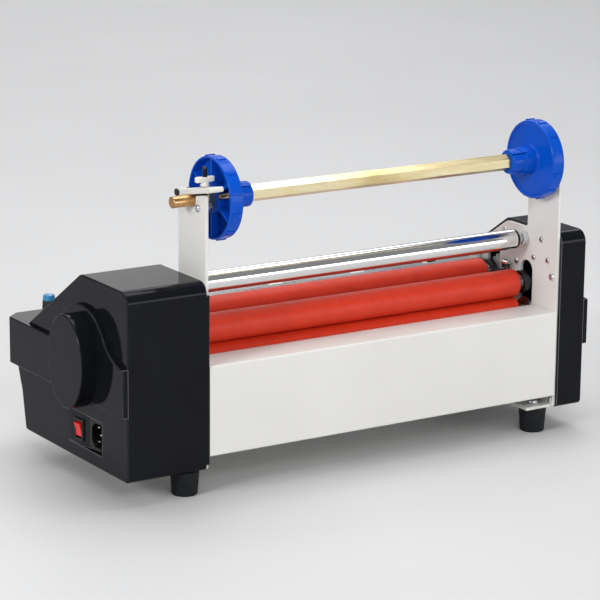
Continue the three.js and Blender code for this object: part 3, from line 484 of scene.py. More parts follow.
def evaluated_mesh(thing):
    graph = bpy.context.evaluated_depsgraph_get()
    return bpy.data.meshes.new_from_object(thing.evaluated_get(graph))


def combine(thing, tools, operation):
    """Applies one boolean after another to an object."""
    for bm in tools:
        tool = as_object(bm, "tool")
        change = thing.modifiers.new("cut", "BOOLEAN")
        change.operation = operation
        change.solver = "MANIFOLD"
        change.object = tool
        bpy.context.view_layer.update()
        result = evaluated_mesh(thing)
        thing.modifiers.clear()
        old = thing.data
        thing.data = result
        bpy.data.meshes.remove(old)
        bpy.data.objects.remove(tool, do_unlink=True)


SHARP_FROM = math.radians(35)


def smooth(thing):
    """Smooth shading that keeps real edges and flat faces."""
    thing.data.shade_smooth()
    thing.data.set_sharp_from_angle(angle=SHARP_FROM)
    weighted = thing.modifiers.new("weighted", "WEIGHTED_NORMAL")
    weighted.keep_sharp = True


def piece(name, bm, material, body="frame", nodes=(), cuts=(), adds=()):
    """A finished visible piece that rides on a body and stands for CAD nodes."""
    made = as_object(bm, name)
    combine(made, adds, "UNION")
    combine(made, cuts, "DIFFERENCE")
    made.data.materials.clear()
    made.data.materials.append(material)
    smooth(made)
    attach(made, body)
    if nodes:
        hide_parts(*nodes)


# ---- covers

COVER = [
    (0, 0, 5),
    (206, 0, 4),
    (213, 38, 20),
    (222, 62, 4),
    (236, 62, 9),
    (NOSE_Y + 2, 76, 8),
    (NOSE_Y, NOSE_TOP, 5),
    (197.5, NOSE_TOP, 6),
    (89.5, HEIGHT, 16),
    (0, HEIGHT, 12),
]
BAND_LOW = 63.0
SWEEP_R = 44.0
EDGE = 1.6
BAND_EDGE = 1.3


def band_outline():
    """The raised band: level below, along the nose, round the drum and down an S-curve to the front."""
    middle = Vector(DRUM_AT)
    centre = Vector((0, NOSE_TOP + SWEEP_R))
    to_drum = middle - centre
    around = to_drum.length - SWEEP_R
    touch = math.atan2(to_drum.y, to_drum.x)
    rise = math.asin((NOSE_TOP - middle.y) / around)
    points = [Vector((0, BAND_LOW)), Vector((222, BAND_LOW)), Vector((236, BAND_LOW))]
    points += [Vector((NOSE_Y + 1.6, 76)), Vector((NOSE_Y - 0.3, NOSE_TOP))]
    for k in range(49):
        t = rise + (touch + math.pi - rise) * k / 48
        points.append(middle + Vector((math.cos(t), math.sin(t))) * around)
    for k in range(1, 25):
        t = touch + (-math.pi / 2 - touch) * k / 24
        points.append(centre + Vector((math.cos(t), math.sin(t))) * SWEEP_R)
    return points


NOSE_CUT = 13.0  # how far the bevel of the nose reaches along Y
NOSE_CUT_WIDTH = 16.0  # and along X


def nose_wedge(outer, outward):
    """Bevels the rear corner of the nose in plan."""
    far = 30
    inner = outer - outward * NOSE_CUT_WIDTH
    slope = NOSE_CUT / NOSE_CUT_WIDTH
    corner = [
        Vector((outer + outward * far, NOSE_Y + far)),
        Vector((outer + outward * far, NOSE_Y - NOSE_CUT - far * slope)),
        Vector((inner, NOSE_Y + 3)),
        Vector((inner, NOSE_Y + far)),
    ]
    outline = corner if outward < 0 else list(reversed(corner))
    return prism(outline, -5, HEIGHT + 5, place=along_z)


RECESS = {"front": 49.0, "rear": 116.0, "low": 13.5, "high": 46.0, "depth": 7.0}
RECESS_TURN = math.atan(RECESS["depth"] / (RECESS["rear"] - RECESS["front"]))


def recess_wedge(extra=0.0):
    outline = [
        Vector((LEFT_FACE - 20, RECESS["front"] - extra)),
        Vector((LEFT_FACE + RECESS["depth"] + extra, RECESS["front"] - extra)),
        Vector((LEFT_FACE + extra, RECESS["rear"] + extra)),
        Vector((LEFT_FACE - 20, RECESS["rear"] + extra)),
    ]
    return prism(outline, RECESS["low"] - extra, RECESS["high"] + extra, place=along_z)


def on_floor(bm):
    """Moves a mesh from the recess's own frame onto its sloping floor."""
    turn = Matrix.Rotation(RECESS_TURN, 4, "Z")
    return moved(bm, Matrix.Translation((LEFT_FACE, RECESS["rear"], 0)) @ turn)


INLET = {"y": -51.0, "z": 29.5, "width": 20.0, "height": 27.0}
ROCKER = {"y": -19.0, "z": 28.0, "width": 13.0, "height": 19.0}


def floor_hole(spec):
    half_y = spec["width"] / 2 + GAP
    half_z = spec["height"] / 2 + GAP
    y = (spec["y"] - half_y, spec["y"] + half_y)
    return on_floor(block((-5, 8), y, (spec["z"] - half_z, spec["z"] + half_z)))


def foot_flange_room():
    return block((LEFT_OUT - FLANGE - 1, LEFT_OUT + 1), (WALL + 1, 189), (-1, WALL + 1))


def cover_shell(inner, outer, outward):
    """The outer solid and the hollow of a cover, with a rounded outer edge."""
    outline = rounded(COVER, 8)
    low, high = min(inner, outer), max(inner, outer)
    cavity_low = low + WALL if outward < 0 else low - 5
    cavity_high = high + 5 if outward < 0 else high - WALL
    cavity = prism(shifted(outline, WALL), cavity_low, cavity_high)
    return soft_edged(outline, outer, inner, outward, EDGE), cavity


def oval(bm):
    """Narrows a round mesh along Y about the drum's axis."""
    centre = Matrix.Translation((0, DRUM_AT[0], 0))
    return moved(bm, centre @ Matrix.Diagonal((1, DRUM_NARROWING, 1, 1)) @ centre.inverted())


def left_cover():
    shell, cavity = cover_shell(LEFT_OUT - GAP, LEFT_FACE, -1)
    hollow = as_object(cavity, "hollow")
    combine(hollow, [recess_wedge(WALL), nose_wedge(LEFT_FACE + WALL, -1)], "DIFFERENCE")
    hollow_bm = bmesh.new()
    hollow_bm.from_mesh(hollow.data)
    bpy.data.objects.remove(hollow, do_unlink=True)
    drum_room = oval(rod(*DRUM_AT, DRUM_R - WALL, LEFT_FACE - 3, LEFT_FACE + WALL + 1, 0, 64))
    cuts = [
        nose_wedge(LEFT_FACE, -1),
        hollow_bm,
        recess_wedge(),
        floor_hole(INLET),
        floor_hole(ROCKER),
        foot_flange_room(),
        drum_room,
    ]
    lip = block((LEFT_OUT - GAP - 3, LEFT_IN), (0, WALL), (5, HEIGHT - 12), 1.1)
    piece("left_cover_shell", shell, BLACK, nodes=["left_cover"], adds=[lip], cuts=cuts)


def right_cover():
    shell, cavity = cover_shell(RIGHT_OUT + GAP, RIGHT_FACE, 1)
    cuts = [nose_wedge(RIGHT_FACE, 1), cavity]
    piece("right_cover_shell", shell, BLACK, nodes=["right_cover"], cuts=cuts)


def raised_band(name, face, outward):
    """The raised band with softly rounded outer edges."""
    outer = face + outward * BAND
    root = face - outward
    band = soft_edged(band_outline(), outer, root, outward, BAND_EDGE)
    cuts = [nose_wedge(face, outward)]
    if outward < 0:
        cuts.append(oval(rod(*DRUM_AT, DRUM_R - WALL, face - BAND - 1, face + 3, 0, 64)))
    piece(name, band, BLACK, cuts=cuts)


def drum():
    """The round boss over the motor, with a rounded rim and a hollow behind."""
    face = LEFT_FACE - BAND - DRUM_DEPTH
    root = LEFT_FACE - BAND + 1
    corners = [
        (0, face, 0),
        (DRUM_R, face, 1.6),
        (DRUM_R, root, 0),
        (DRUM_R - WALL, root, 0),
        (DRUM_R - WALL, face + WALL, 1),
        (0, face + WALL, 0),
    ]
    piece("drum", oval(turned(corners, *DRUM_AT, 128, 8)), BLACK)


# ---- sheet metal

UPRIGHT = (WALL + GAP, 53.0)
UPRIGHT_TOP = machine_box("right_side_plate")[1].z
PLATE_REAR = machine_box("right_side_plate")[1].y
SLOT_R = 10.0
PULL_SLOT_TOP = 133.0
MAIN_SLOT_TOP = 142.0
BAR_SLOT_R = 6.1
CLAMP_PIN = (48.0, 256.5)
CLAMP_BOLT = (16.0, 247.0)
FLANGE = 30.0


def plate_outline(with_ear):
    slope = (HEIGHT - NOSE_TOP) / (197.5 - 89.5)
    flat = HEIGHT - 3
    rear_top = flat - slope * (PLATE_REAR - 89.5 + 2)
    corners = [
        (UPRIGHT[0], 0, 3),
        (PLATE_REAR, 0, 6),
        (PLATE_REAR, rear_top, 6),
        (87.5, flat, 14),
        (UPRIGHT[1], flat, 4),
    ]
    if with_ear:
        ear = CLAMP_PIN[0] - 8
        corners += [(UPRIGHT[1], UPRIGHT_TOP - 1, 2), (ear, UPRIGHT_TOP - 1, 1.5)]
        corners += [(ear, UPRIGHT_TOP - 7.5, 0), (UPRIGHT[0], UPRIGHT_TOP, 2)]
    else:
        corners += [(UPRIGHT[1], UPRIGHT_TOP, 3), (UPRIGHT[0], UPRIGHT_TOP, 3)]
    return rounded(corners, 6)


def obround(y, low, high, x):
    outline = circle(y, low, SLOT_R, 32, math.pi)[:17]
    outline += circle(y, high, SLOT_R, 32, 0)[:17]
    return prism(outline, *x)


def bar_slot(x):
    y, z = BAR
    outline = circle(y, z, BAR_SLOT_R, 32, math.pi)[:17]
    outline += [Vector((y + BAR_SLOT_R, UPRIGHT_TOP + 5)), Vector((y - BAR_SLOT_R, UPRIGHT_TOP + 5))]
    return prism(outline, *x)


def side_plate(side, inner, outward):
    x = sorted((inner, inner + outward * PLATE))
    reach = (x[0] - 2, x[1] + 2)
    flange = block((x[0] - FLANGE, x[0] + 0.5), (UPRIGHT[0] + 3, PLATE_REAR - 6), (0, PLATE), 0.4)
    cuts = [
        bar_slot(reach),
        obround(LOW_PULL[0], LOW_PULL[1], PULL_SLOT_TOP, reach),
        obround(LOW_MAIN[0], LOW_MAIN[1], MAIN_SLOT_TOP, reach),
    ]
    piece(
        side + "_plate",
        prism(plate_outline(outward < 0), x[0], x[1], 0.35),
        WHITE,
        nodes=[side + "_side_plate"],
        adds=[flange],
        cuts=cuts,
    )


def bent_sheet(name, corners, node, cuts=()):
    x = (LEFT_IN + GAP, RIGHT_IN - GAP)
    piece(name, prism(rounded(corners, 5), *x, 0.3), WHITE, nodes=[node], cuts=cuts)


SHEET = 1.5
PANEL_LOW = machine_box("front_panel")[0].z
DECK = machine_box("front_panel")[1].z
DECK_DEPTH = machine_box("front_panel")[1].y


def front_panel():
    t = SHEET
    corners = [
        (0, PANEL_LOW, 1.3),
        (14, PANEL_LOW, 0.3),
        (14, PANEL_LOW + t, 0.3),
        (t, PANEL_LOW + t, 0.5),
        (t, DECK - t, 0.5),
        (DECK_DEPTH, DECK - t, 0.3),
        (DECK_DEPTH, DECK, 0.6),
        (0, DECK, 1.9),
    ]
    bent_sheet("front_panel_sheet", corners, "front_panel")


def chassis_pan():
    low, high = machine_box("chassis_pan")
    t = SHEET
    corners = [
        (low.y, low.z, 0.3),
        (high.y, low.z, 1.8),
        (high.y, high.z, 1.8),
        (high.y - 14, high.z, 0.3),
        (high.y - 14, high.z - t, 0.3),
        (high.y - t, high.z - t, 0.5),
        (high.y - t, low.z + t, 0.5),
        (low.y, low.z + t, 0.3),
    ]
    bent_sheet("chassis_pan_sheet", corners, "chassis_pan")


def feed_table():
    low, high = machine_box("feed_table")
    t = SHEET
    corners = [
        (low.y, high.z, 0.5),
        (low.y, high.z - t, 0.3),
        (high.y - t, high.z - t, 0.5),
        (high.y - t, low.z, 0.3),
        (high.y, low.z, 0.5),
        (high.y, high.z, 2.0),
    ]
    cuts = []
    for share in (0.12, 0.3, 0.7, 0.88):
        x = share * RIGHT_IN
        outline = rectangle((x - 16, x + 16), (193.5, 198.5), 2.4)
        cuts.append(prism(outline, high.z - 5, high.z + 2, place=along_z))
    bent_sheet("feed_table_sheet", corners, "feed_table", cuts)


GUIDE_DEPTH = 8.0


def film_guide():
    """The polished slanting strip with its end tabs and slots."""
    low, high = machine_box("film_guide")
    slant = SHEET * math.sqrt(2)
    corners = [
        (low.y, low.z, 0.4),
        (low.y + slant, low.z, 0.4),
        (low.y + GUIDE_DEPTH, high.z - slant, 0.4),
        (low.y + GUIDE_DEPTH, high.z, 0.4),
    ]
    x = (LEFT_IN + GAP, RIGHT_IN - GAP)
    tabs = [block((a, a + SHEET), (low.y, high.y), (low.z, high.z), 0.3) for a in (x[0], x[1] - SHEET)]
    slots = []
    y = low.y + GUIDE_DEPTH / 2
    for share in (0.16, 0.38, 0.62, 0.84):
        middle = share * RIGHT_IN
        outline = rectangle((middle - 9, middle + 9), (y - 1.7, y + 1.7), 1.6)
        slots.append(prism(outline, low.z - 4, high.z + 4, place=along_z))
    guide = prism(rounded(corners, 4), *x, 0.2)
    piece("guide_strip", guide, SATIN, nodes=["film_guide"], adds=tabs, cuts=slots)


# ---- feet and fasteners


def foot(node):
    low, high = machine_box(node)
    x, y = (low.x + high.x) / 2, (low.y + high.y) / 2
    corners = [
        (0, low.z, 0),
        (12.2, low.z, 1.2),
        (13.0, low.z + 12, 0),
        (14.0, -GAP, 1.0),
        (0, -GAP, 0),
    ]
    piece(node + "_rubber", turned_z(corners, x, y), RUBBER, nodes=[node])
    nut = prism(circle(x, y, 4.6, 6), PLATE + GAP, PLATE + 3.8, 0.4, along_z)
    piece(node + "_nut", nut, BRIGHT)
    piece(node + "_screw", rod_z(x, y, 2.5, -GAP, high.z, 0.3), BRIGHT)


def toward(direction):
    """Turns +X onto a direction."""
    return Vector((1, 0, 0)).rotation_difference(Vector(direction)).to_matrix().to_4x4()


def pan_screw(name, place, direction, radius, material=BRIGHT):
    """A pan-head screw with a cross recess, its seat at a place and its head along a direction."""
    high = radius * 0.62
    head = turned([(0, 0, 0), (radius, 0, 0), (radius, high, radius * 0.5), (0, high, 0)], 0, 0, 40, 5)
    deep = (high * 0.45, high + 1)
    arm = (-radius * 0.58, radius * 0.58)
    thin = (-radius * 0.13, radius * 0.13)
    slots = [block(deep, arm, thin), block(deep, thin, arm)]
    pose = Matrix.Translation(place) @ toward(direction)
    made = [moved(bm, pose) for bm in (head, *slots)]
    piece(name, made[0], material, cuts=made[1:])


PLATE_SCREWS = [(28.8, 168.7), (40.6, 148.4), (17.5, 149.5), (89.8, 167.2), (69.0, 139.0)]  # (y, z)


def plate_screws():
    """Screws on the inner faces of the right plate and mirrored on the left one."""
    for i, (y, z) in enumerate(PLATE_SCREWS):
        pan_screw(f"right_plate_screw_{i}", (RIGHT_IN, y, z), (-1, 0, 0), 3.0, WHITE_SCREW)
        pan_screw(f"left_plate_screw_{i}", (LEFT_IN, y, z), (1, 0, 0), 3.0, WHITE_SCREW)
    pan_screw("right_plate_bolt", (RIGHT_IN, 9.7, 134.0), (-1, 0, 0), 4.0)
    pan_screw("left_plate_bolt", (LEFT_IN, 9.7, 134.0), (1, 0, 0), 4.0)
    pan_screw("right_foot_bolt", (RIGHT_IN, 7.5, 7.3), (-1, 0, 0), 2.8)
    pan_screw("left_foot_bolt", (LEFT_OUT, 7.5, 7.3), (-1, 0, 0), 2.8)


# ---- electrical pieces


def power_inlet():
    """The flange, the body behind it, the six-sided well and its three pins."""
    y, z, width, height = INLET.values()
    left, right = y - width / 2, y + width / 2
    low, high = z - height / 2, z + height / 2
    wall, round_by = 1.8, 1.5
    well_outline = rounded(
        [
            (left + wall, low + wall, round_by),
            (right - 6.5, low + wall, round_by),
            (right - wall, low + 7, round_by),
            (right - wall, high - 7, round_by),
            (right - 6.5, high - wall, round_by),
            (left + wall, high - wall, round_by),
        ]
    )
    flange = prism(rectangle((left - 2, right + 2), (low - 2, high + 2), 2), -2.2, -GAP, 0.6)
    body = block((-1, 22), (left, right), (low, high), 0.5)
    well = prism(well_outline, -4, 16)
    flange, body, well = [on_floor(bm) for bm in (flange, body, well)]
    piece("inlet_body", flange, MOULDING, nodes=["power_inlet"], adds=[body], cuts=[well])
    for i, (py, pz) in enumerate([(y - 2, z), (y + 3, z - 7), (y + 3, z + 7)]):
        pin = on_floor(block((1.5, 18), (py - 2, py + 2), (pz - 1, pz + 1), 0.5))
        piece(f"inlet_pin_{i}", pin, BRIGHT)


def power_switch():
    y, z, width, height = ROCKER.values()
    half_y, half_z = width / 2, height / 2
    out_y, out_z = half_y + 1.2, half_z + 1.2
    bezel = block((-1.8, -GAP), (y - out_y, y + out_y), (z - out_z, z + out_z), 0.7)
    body = block((-1, 18), (y - half_y, y + half_y), (z - half_z, z + half_z), 0.4)
    window = block((-4, 7), (y - half_y + 1.3, y + half_y - 1.3), (z - half_z + 1.3, z + half_z - 1.3), 0.4)
    terminals = [block((17, 25), (y - 3, y + 3), (z + dz - 0.4, z + dz + 0.4), 0.1) for dz in (-5, 5)]
    tools = [on_floor(bm) for bm in (bezel, body, *terminals)]
    piece(
        "switch_frame",
        tools[0],
        MOULDING,
        nodes=["switch_housing"],
        adds=tools[1:],
        cuts=[on_floor(window)],
    )


def switch_rocker():
    """The rocker is a shallow V in section, pressed in below."""
    depth, half_z, half_y = 2.2, ROCKER["height"] / 2 - 2.1, ROCKER["width"] / 2 - 1.9
    section = rounded(
        [
            (-0.6, -half_z + 0.4, 0.6),
            (-1.2, -0.5, 6.0),
            (-3.4, half_z - 1.1, 0.7),
            (depth + 1.2, half_z - 0.9, 0.3),
            (depth + 2.6, 0, 0.3),
            (depth + 1.2, -half_z + 0.9, 0.3),
        ],
        4,
    )
    steps = ((half_y, 0.5), (half_y - 0.15, 0.15), (half_y - 0.5, 0))
    levels = [(-w, inset) for w, inset in steps] + list(reversed(steps))
    rings = []
    for w, inset in levels:
        rings.append([Vector((p.x, ROCKER["y"] + w, ROCKER["z"] + p.y)) for p in shifted(section, inset)])
    piece("rocker_cap", on_floor(skin(rings)), RED, "switch_rocker", ["switch_rocker"])


def speed_knob():
    low, high = machine_box("speed_knob")
    x, y = (low.x + high.x) / 2, (low.y + high.y) / 2
    skirt_top = high.z - 6.2
    skirt = turned_z([(0, low.z, 0), (7, low.z, 0.5), (6.3, skirt_top, 0.3), (0, skirt_top, 0)], x, y)
    piece("knob_skirt", skirt, KNOB_BLACK, "speed_knob", ["speed_knob"])
    cap_top = high.z - 0.7
    cap = turned_z([(0, skirt_top, 0), (6.2, skirt_top, 0.2), (5.5, cap_top, 1.2), (0, cap_top, 0)], x, y)
    piece("knob_cap", cap, KNOB_BLUE, "speed_knob")
    grip = block((x - 0.5, x + 0.5), (y - 5, y - 0.5), (high.z - 1.5, high.z), 0.2)
    piece("knob_pointer", grip, NYLON, "speed_knob")


# ---- rollers


def roller(name, axis):
    """A silicone sleeve on a core with stepped ends."""
    low, high = machine_box(name + "_sleeve")
    radius = (high.y - low.y) / 2
    sleeve = mirrored([(9.3, 0, 0.3), (radius, 0, 1.3)], low.x, high.x)
    piece(name + "_rubber", turned(sleeve, *axis, 96, 5), SILICONE, name, [name + "_sleeve"])
    core_low, core_high = machine_box(name + "_core")
    corners = [
        (0, core_low.x, 0),
        (4, core_low.x, 0.5),
        (4, low.x - 5, 0.4),
        (6.5, low.x - 5, 0.5),
        (6.5, low.x - 0.6, 0.2),
        (9, low.x - 0.6, 0.3),
        (9, high.x + 0.6, 0.3),
        (6.5, high.x + 0.6, 0.2),
        (6.5, high.x + 5, 0.5),
        (4, high.x + 5, 0.4),
        (4, core_high.x, 0.5),
        (0, core_high.x, 0),
    ]
    piece(name + "_shaft", turned(corners, *axis, 64), STEEL, name, [name + "_core"])


BORE = 4.3  # radius inside every bearing


def arm_bearing(node, axis):
    """A small ball bearing: two rings with a shield between them."""
    low, high = machine_box(node)
    shield = 0.5
    inner_ring, outer_ring, outer = 5.6, 6.4, 8.0
    half = [
        (BORE, 0, 0.3),
        (inner_ring, 0, 0.2),
        (inner_ring, shield, 0),
        (outer_ring, shield, 0),
        (outer_ring, 0, 0.2),
        (outer, 0, 0.4),
    ]
    race = turned(mirrored(half, low.x, high.x), *axis, 64, 2)
    piece(node + "_race", race, STEEL, "pressure_arms", [node])


def flanged_bearing(node, axis, outward):
    low, high = machine_box(node)
    seat, flange = 9.7, (high.y - low.y) / 2
    inside, outside = (high.x, low.x) if outward < 0 else (low.x, high.x)
    step = inside + outward * SHEET
    corners = [
        (BORE, inside, 0.3),
        (flange, inside, 0.4),
        (flange, step, 0.3),
        (seat, step, 0),
        (seat, outside, 0.3),
        (BORE, outside, 0.3),
    ]
    piece(node + "_race", turned(corners, *axis, 64, 2), STEEL, nodes=[node])


def idler():
    low, high = machine_box("idler_roller")
    radius = (high.y - low.y) / 2
    ring = 3.0
    corners = mirrored([(BORE, ring, 0.2), (radius, ring, 0.7)], low.x, high.x)
    piece("idler_tube", turned(corners, *IDLER, 96, 4), CHROME, "idler_roller", ["idler_roller"])
    for side, a, b in (("left", low.x, low.x + ring), ("right", high.x - ring, high.x)):
        end = tube(*IDLER, radius - 0.5, BORE, a, b, 0.6)
        piece(side + "_idler_end", end, MOULDING, "idler_roller")
    shaft_low, shaft_high = machine_box("idler_shaft")
    shaft = rod(*IDLER, 4, shaft_low.x, shaft_high.x, 0.6)
    piece("idler_spindle", shaft, STEEL, nodes=["idler_shaft"])
    for side, a, b in (("left", LEFT_IN + GAP, low.x - GAP), ("right", high.x + GAP, RIGHT_IN - GAP)):
        nut_x = (a, a + 6.5) if side == "left" else (b - 6.5, b)
        piece(side + "_idler_nut", prism(hexagon(*IDLER, 13), *nut_x, 0.7), BRIGHT)
        collar_x = (nut_x[1] + 0.1, b) if side == "left" else (a, nut_x[0] - 0.1)
        piece(side + "_idler_collar", rod(*IDLER, 5.6, *collar_x, 0.4), STEEL)


# ---- pressure arms


ARM_LOW, ARM_HIGH = 116.0, 126.0  # edges of the bar between the eyes
ARM_EYE = 11.5
ARM_PIVOT_R = 8.0
ARM_THICK = 7.0
LUG_LOW, LUG_HIGH = 100.0, 103.0


def arm_outline():
    """One outline round both eyes, the bar and the pivot."""
    points = []
    pull, main, pivot = Vector(UP_PULL), Vector(UP_MAIN), Vector(PIVOT)
    drop = math.asin((UP_PULL[1] - ARM_LOW) / ARM_EYE)
    rise = math.asin((ARM_HIGH - UP_PULL[1]) / ARM_EYE)

    def arc(centre, radius, first, last, steps):
        for k in range(steps + 1):
            t = first + (last - first) * k / steps
            points.append(centre + Vector((math.cos(t), math.sin(t))) * radius)

    arc(pull, ARM_EYE, rise, 2 * math.pi - drop, 28)
    arc(main, ARM_EYE, math.pi + drop, math.radians(262), 6)
    arc(pivot, ARM_PIVOT_R, math.radians(262), math.radians(445), 18)
    arc(main, ARM_EYE, math.radians(85), math.pi - rise, 10)
    return points


def arm_bar(side, x, bolt_x, bolt_y):
    boss = rod_z(bolt_x, bolt_y, 5.4, ARM_LOW, ARM_HIGH, 0.5)
    through = (x[0] - 2, x[1] + 2)
    holes = [rod(*centre, 8.3, *through, 0) for centre in (UP_PULL, UP_MAIN)]
    holes += [rod(*PIVOT, 4.0, *through, 0), rod_z(bolt_x, bolt_y, 3, ARM_LOW - 6, ARM_HIGH + 4, 0)]
    arm = prism(arm_outline(), *x, 0.6)
    node = side + "_pressure_arm"
    piece(side + "_arm", arm, DARK, "pressure_arms", [node], adds=[boss], cuts=holes)


def arm_pin(side, outward):
    low, high = machine_box(side + "_arm_pivot_pin")
    head = (high.x - 3, high.x) if outward < 0 else (low.x, low.x + 3)
    pin = rod(*PIVOT, 3.7, low.x, high.x, 0.5)
    cap = rod(*PIVOT, 6, *head, 0.8)
    piece(side + "_pivot_pin", pin, STEEL, nodes=[side + "_arm_pivot_pin"], adds=[cap])


def arm_bolt(side, x, y):
    """The bolt through the arm and the lug, with a nut on each side of the lug and its spring."""
    low, high = machine_box(side + "_pressure_bolt")
    stem = rod_z(x, y, 2, low.z, high.z - 1, 0.3)
    top = turned_z([(0, high.z - 3.5, 0), (5, high.z - 3.5, 0.4), (5, high.z, 1.2), (0, high.z, 0)], x, y)
    nut_levels = ((LUG_LOW - 5, LUG_LOW - GAP), (LUG_HIGH + GAP, LUG_HIGH + 3))
    nuts = [prism(circle(x, y, 4, 6), *levels, 0.4, along_z) for levels in nut_levels]
    socket = prism(circle(x, y, 2.1, 6), high.z - 1.8, high.z + 1, 0, along_z)
    node = side + "_pressure_bolt"
    piece(side + "_bolt", stem, CHROME, nodes=[node], adds=[top, *nuts], cuts=[socket])
    spring_low, spring_high = machine_box(side + "_pressure_spring")
    spring = coil(x, y, spring_low.z, spring_high.z, 4.8, 1.3, 4.2)
    piece(side + "_coil", spring, DARK, nodes=[side + "_pressure_spring"])


def pressure_arm(side, inner, outward):
    """An arm with its two bearings and collars, its pin and its pressure bolt."""
    face = inner - outward * 2.5
    x = sorted((face, face - outward * ARM_THICK))
    bolt_x = sum(x) / 2
    bolt_low, bolt_high = machine_box(side + "_pressure_bolt")
    bolt_y = (bolt_low.y + bolt_high.y) / 2
    arm_bar(side, x, bolt_x, bolt_y)
    for which, centre in (("pull", UP_PULL), ("main", UP_MAIN)):
        arm_bearing(f"{side}_upper_{which}_bearing", centre)
        start = x[0] - 3.2 if outward > 0 else x[1] + GAP
        collar = tube(*centre, 6.2, 4.05, start, start + 2.9, 0.5)
        piece(f"{side}_{which}_collar", collar, BRIGHT, f"upper_{which}_roller")
    arm_pin(side, outward)
    arm_bolt(side, bolt_x, bolt_y)


# ---- supply bar, chucks and brake


BAR_FLATS = 14.0
JOURNAL_R = 5.5


def supply_bar():
    low, high = machine_box("supply_bar")
    hex_x = (LEFT_IN + 10, RIGHT_IN - 3)
    bar = prism(hexagon(*BAR, BAR_FLATS, math.pi / 2), *hex_x, 1.0)
    piece("hexagon_bar", bar, ZINC, "supply_bar", ["supply_bar"])
    stubs = ((low.x, hex_x[0] + 0.5, "left"), (hex_x[1] - 0.5, high.x, "right"))
    for a, b, side in stubs:
        piece(side + "_journal", rod(*BAR, JOURNAL_R, a, b, 0.7), BRASS, "supply_bar")


CHUCK_R = 40.0
CHUCK_DEEP = 14.0
HUB_R = 12.4
HUB_LONG = 27.0


def chuck_body(face, inward):
    """A dished disc with a ribbed recess on its outer side and a stepped hub towards the middle."""
    rim = CHUCK_R - 3.2
    floor = CHUCK_DEEP - 3
    radius = CHUCK_R - 1.1

    def at(distance):
        return face + inward * distance

    corners = [
        (4, at(1.5), 0),
        (14.5, at(1.5), 1.0),
        (15.5, at(floor), 1.2),
        (rim - 0.8, at(floor - 1), 1.5),
        (rim, at(0), 0.8),
        (radius, at(0), 1.2),
        (radius, at(CHUCK_DEEP), 2.0),
        (rim - 0.5, at(CHUCK_DEEP), 0.8),
        (rim - 2.2, at(CHUCK_DEEP - 1.6), 0.8),
        (HUB_R + 2.6, at(CHUCK_DEEP - 0.4), 3.0),
        (HUB_R + 1.0, at(CHUCK_DEEP + 12), 0.5),
        (HUB_R + 0.2, at(CHUCK_DEEP + 12.8), 0.5),
        (HUB_R - 0.5, at(CHUCK_DEEP + HUB_LONG), 1.0),
        (4, at(CHUCK_DEEP + HUB_LONG), 0),
    ]
    return turned(corners, *BAR, 96, 4), at, rim, floor


def around_bar(count, first, x, y, z, edge=0.0):
    """Equal blocks spaced round the bar's axis, the first one turned by an angle in degrees."""
    blocks = []
    for i in range(count):
        turn = Matrix.Rotation(math.radians(first + 360 / count * i), 4, "X")
        blocks.append(moved(block(sorted(x), y, z, edge), Matrix.Translation((0, *BAR)) @ turn))
    return blocks


def chuck(node, face, inward):
    """A core chuck with ribs in its recess, grip bumps on its rim and slits in its hub."""
    body, at, rim, floor = chuck_body(face, inward)
    hub_end = CHUCK_DEEP + HUB_LONG
    ribs = around_bar(6, 30, (at(1.9), at(floor + 0.6)), (13, rim + 1), (-0.9, 0.9), 0.3)
    bumps = around_bar(12, 15, (at(2.0), at(11.5)), (CHUCK_R - 2, CHUCK_R), (-1.6, 1.6), 0.4)
    slits = around_bar(4, 45, (at(hub_end - 16), at(hub_end + 2)), (HUB_R - 2.2, HUB_R + 3), (-0.7, 0.7))
    bore = prism(hexagon(*BAR, BAR_FLATS + 0.5, math.pi / 2), *sorted((at(-2), at(60))))
    cuts = [bore, *slits]
    if node == "left_chuck":
        cuts.append(locking_hole())
    piece(node + "_disc", body, BLUE, node, [node], adds=ribs + bumps, cuts=cuts)


SCREW_TILT = math.radians(14)
LEFT_CHUCK_FACE = machine_box("left_chuck")[0].x
RIGHT_CHUCK_FACE = machine_box("right_chuck")[1].x


def along_screw(bm):
    """From an axis along +X at the origin to the locking screw's axis."""
    direction = Vector((0, -math.cos(SCREW_TILT), math.sin(SCREW_TILT)))
    return moved(bm, Matrix.Translation((LEFT_CHUCK_FACE + 5, *BAR)) @ toward(direction))


def locking_hole():
    return along_screw(rod(0, 0, 3.5, 5, 36, 0, 32))


def locking_screw():
    barrel = along_screw(rod(0, 0, 3.2, 9.5, 32, 0.5))
    socket = along_screw(prism(circle(0, 0, 1.8, 6), 29, 34))
    piece("set_screw", barrel, ZINC, "locking_screw", ["chuck_locking_screw"], cuts=[socket])


CLAMP_HALF = 2.5
CLAMP_RISE = BAR[1] + JOURNAL_R + GAP + CLAMP_HALF - CLAMP_PIN[1]
CLAMP_TILT = math.atan(CLAMP_RISE / (CLAMP_PIN[0] - BAR[0]))
STUD_X = LEFT_IN + 3.8


def on_clamp(along, across):
    """(y, z) by distance from the clamp bar's pin and height above its middle line."""
    y = CLAMP_PIN[0] - along * math.cos(CLAMP_TILT) + across * math.sin(CLAMP_TILT)
    return y, CLAMP_PIN[1] + along * math.sin(CLAMP_TILT) + across * math.cos(CLAMP_TILT)


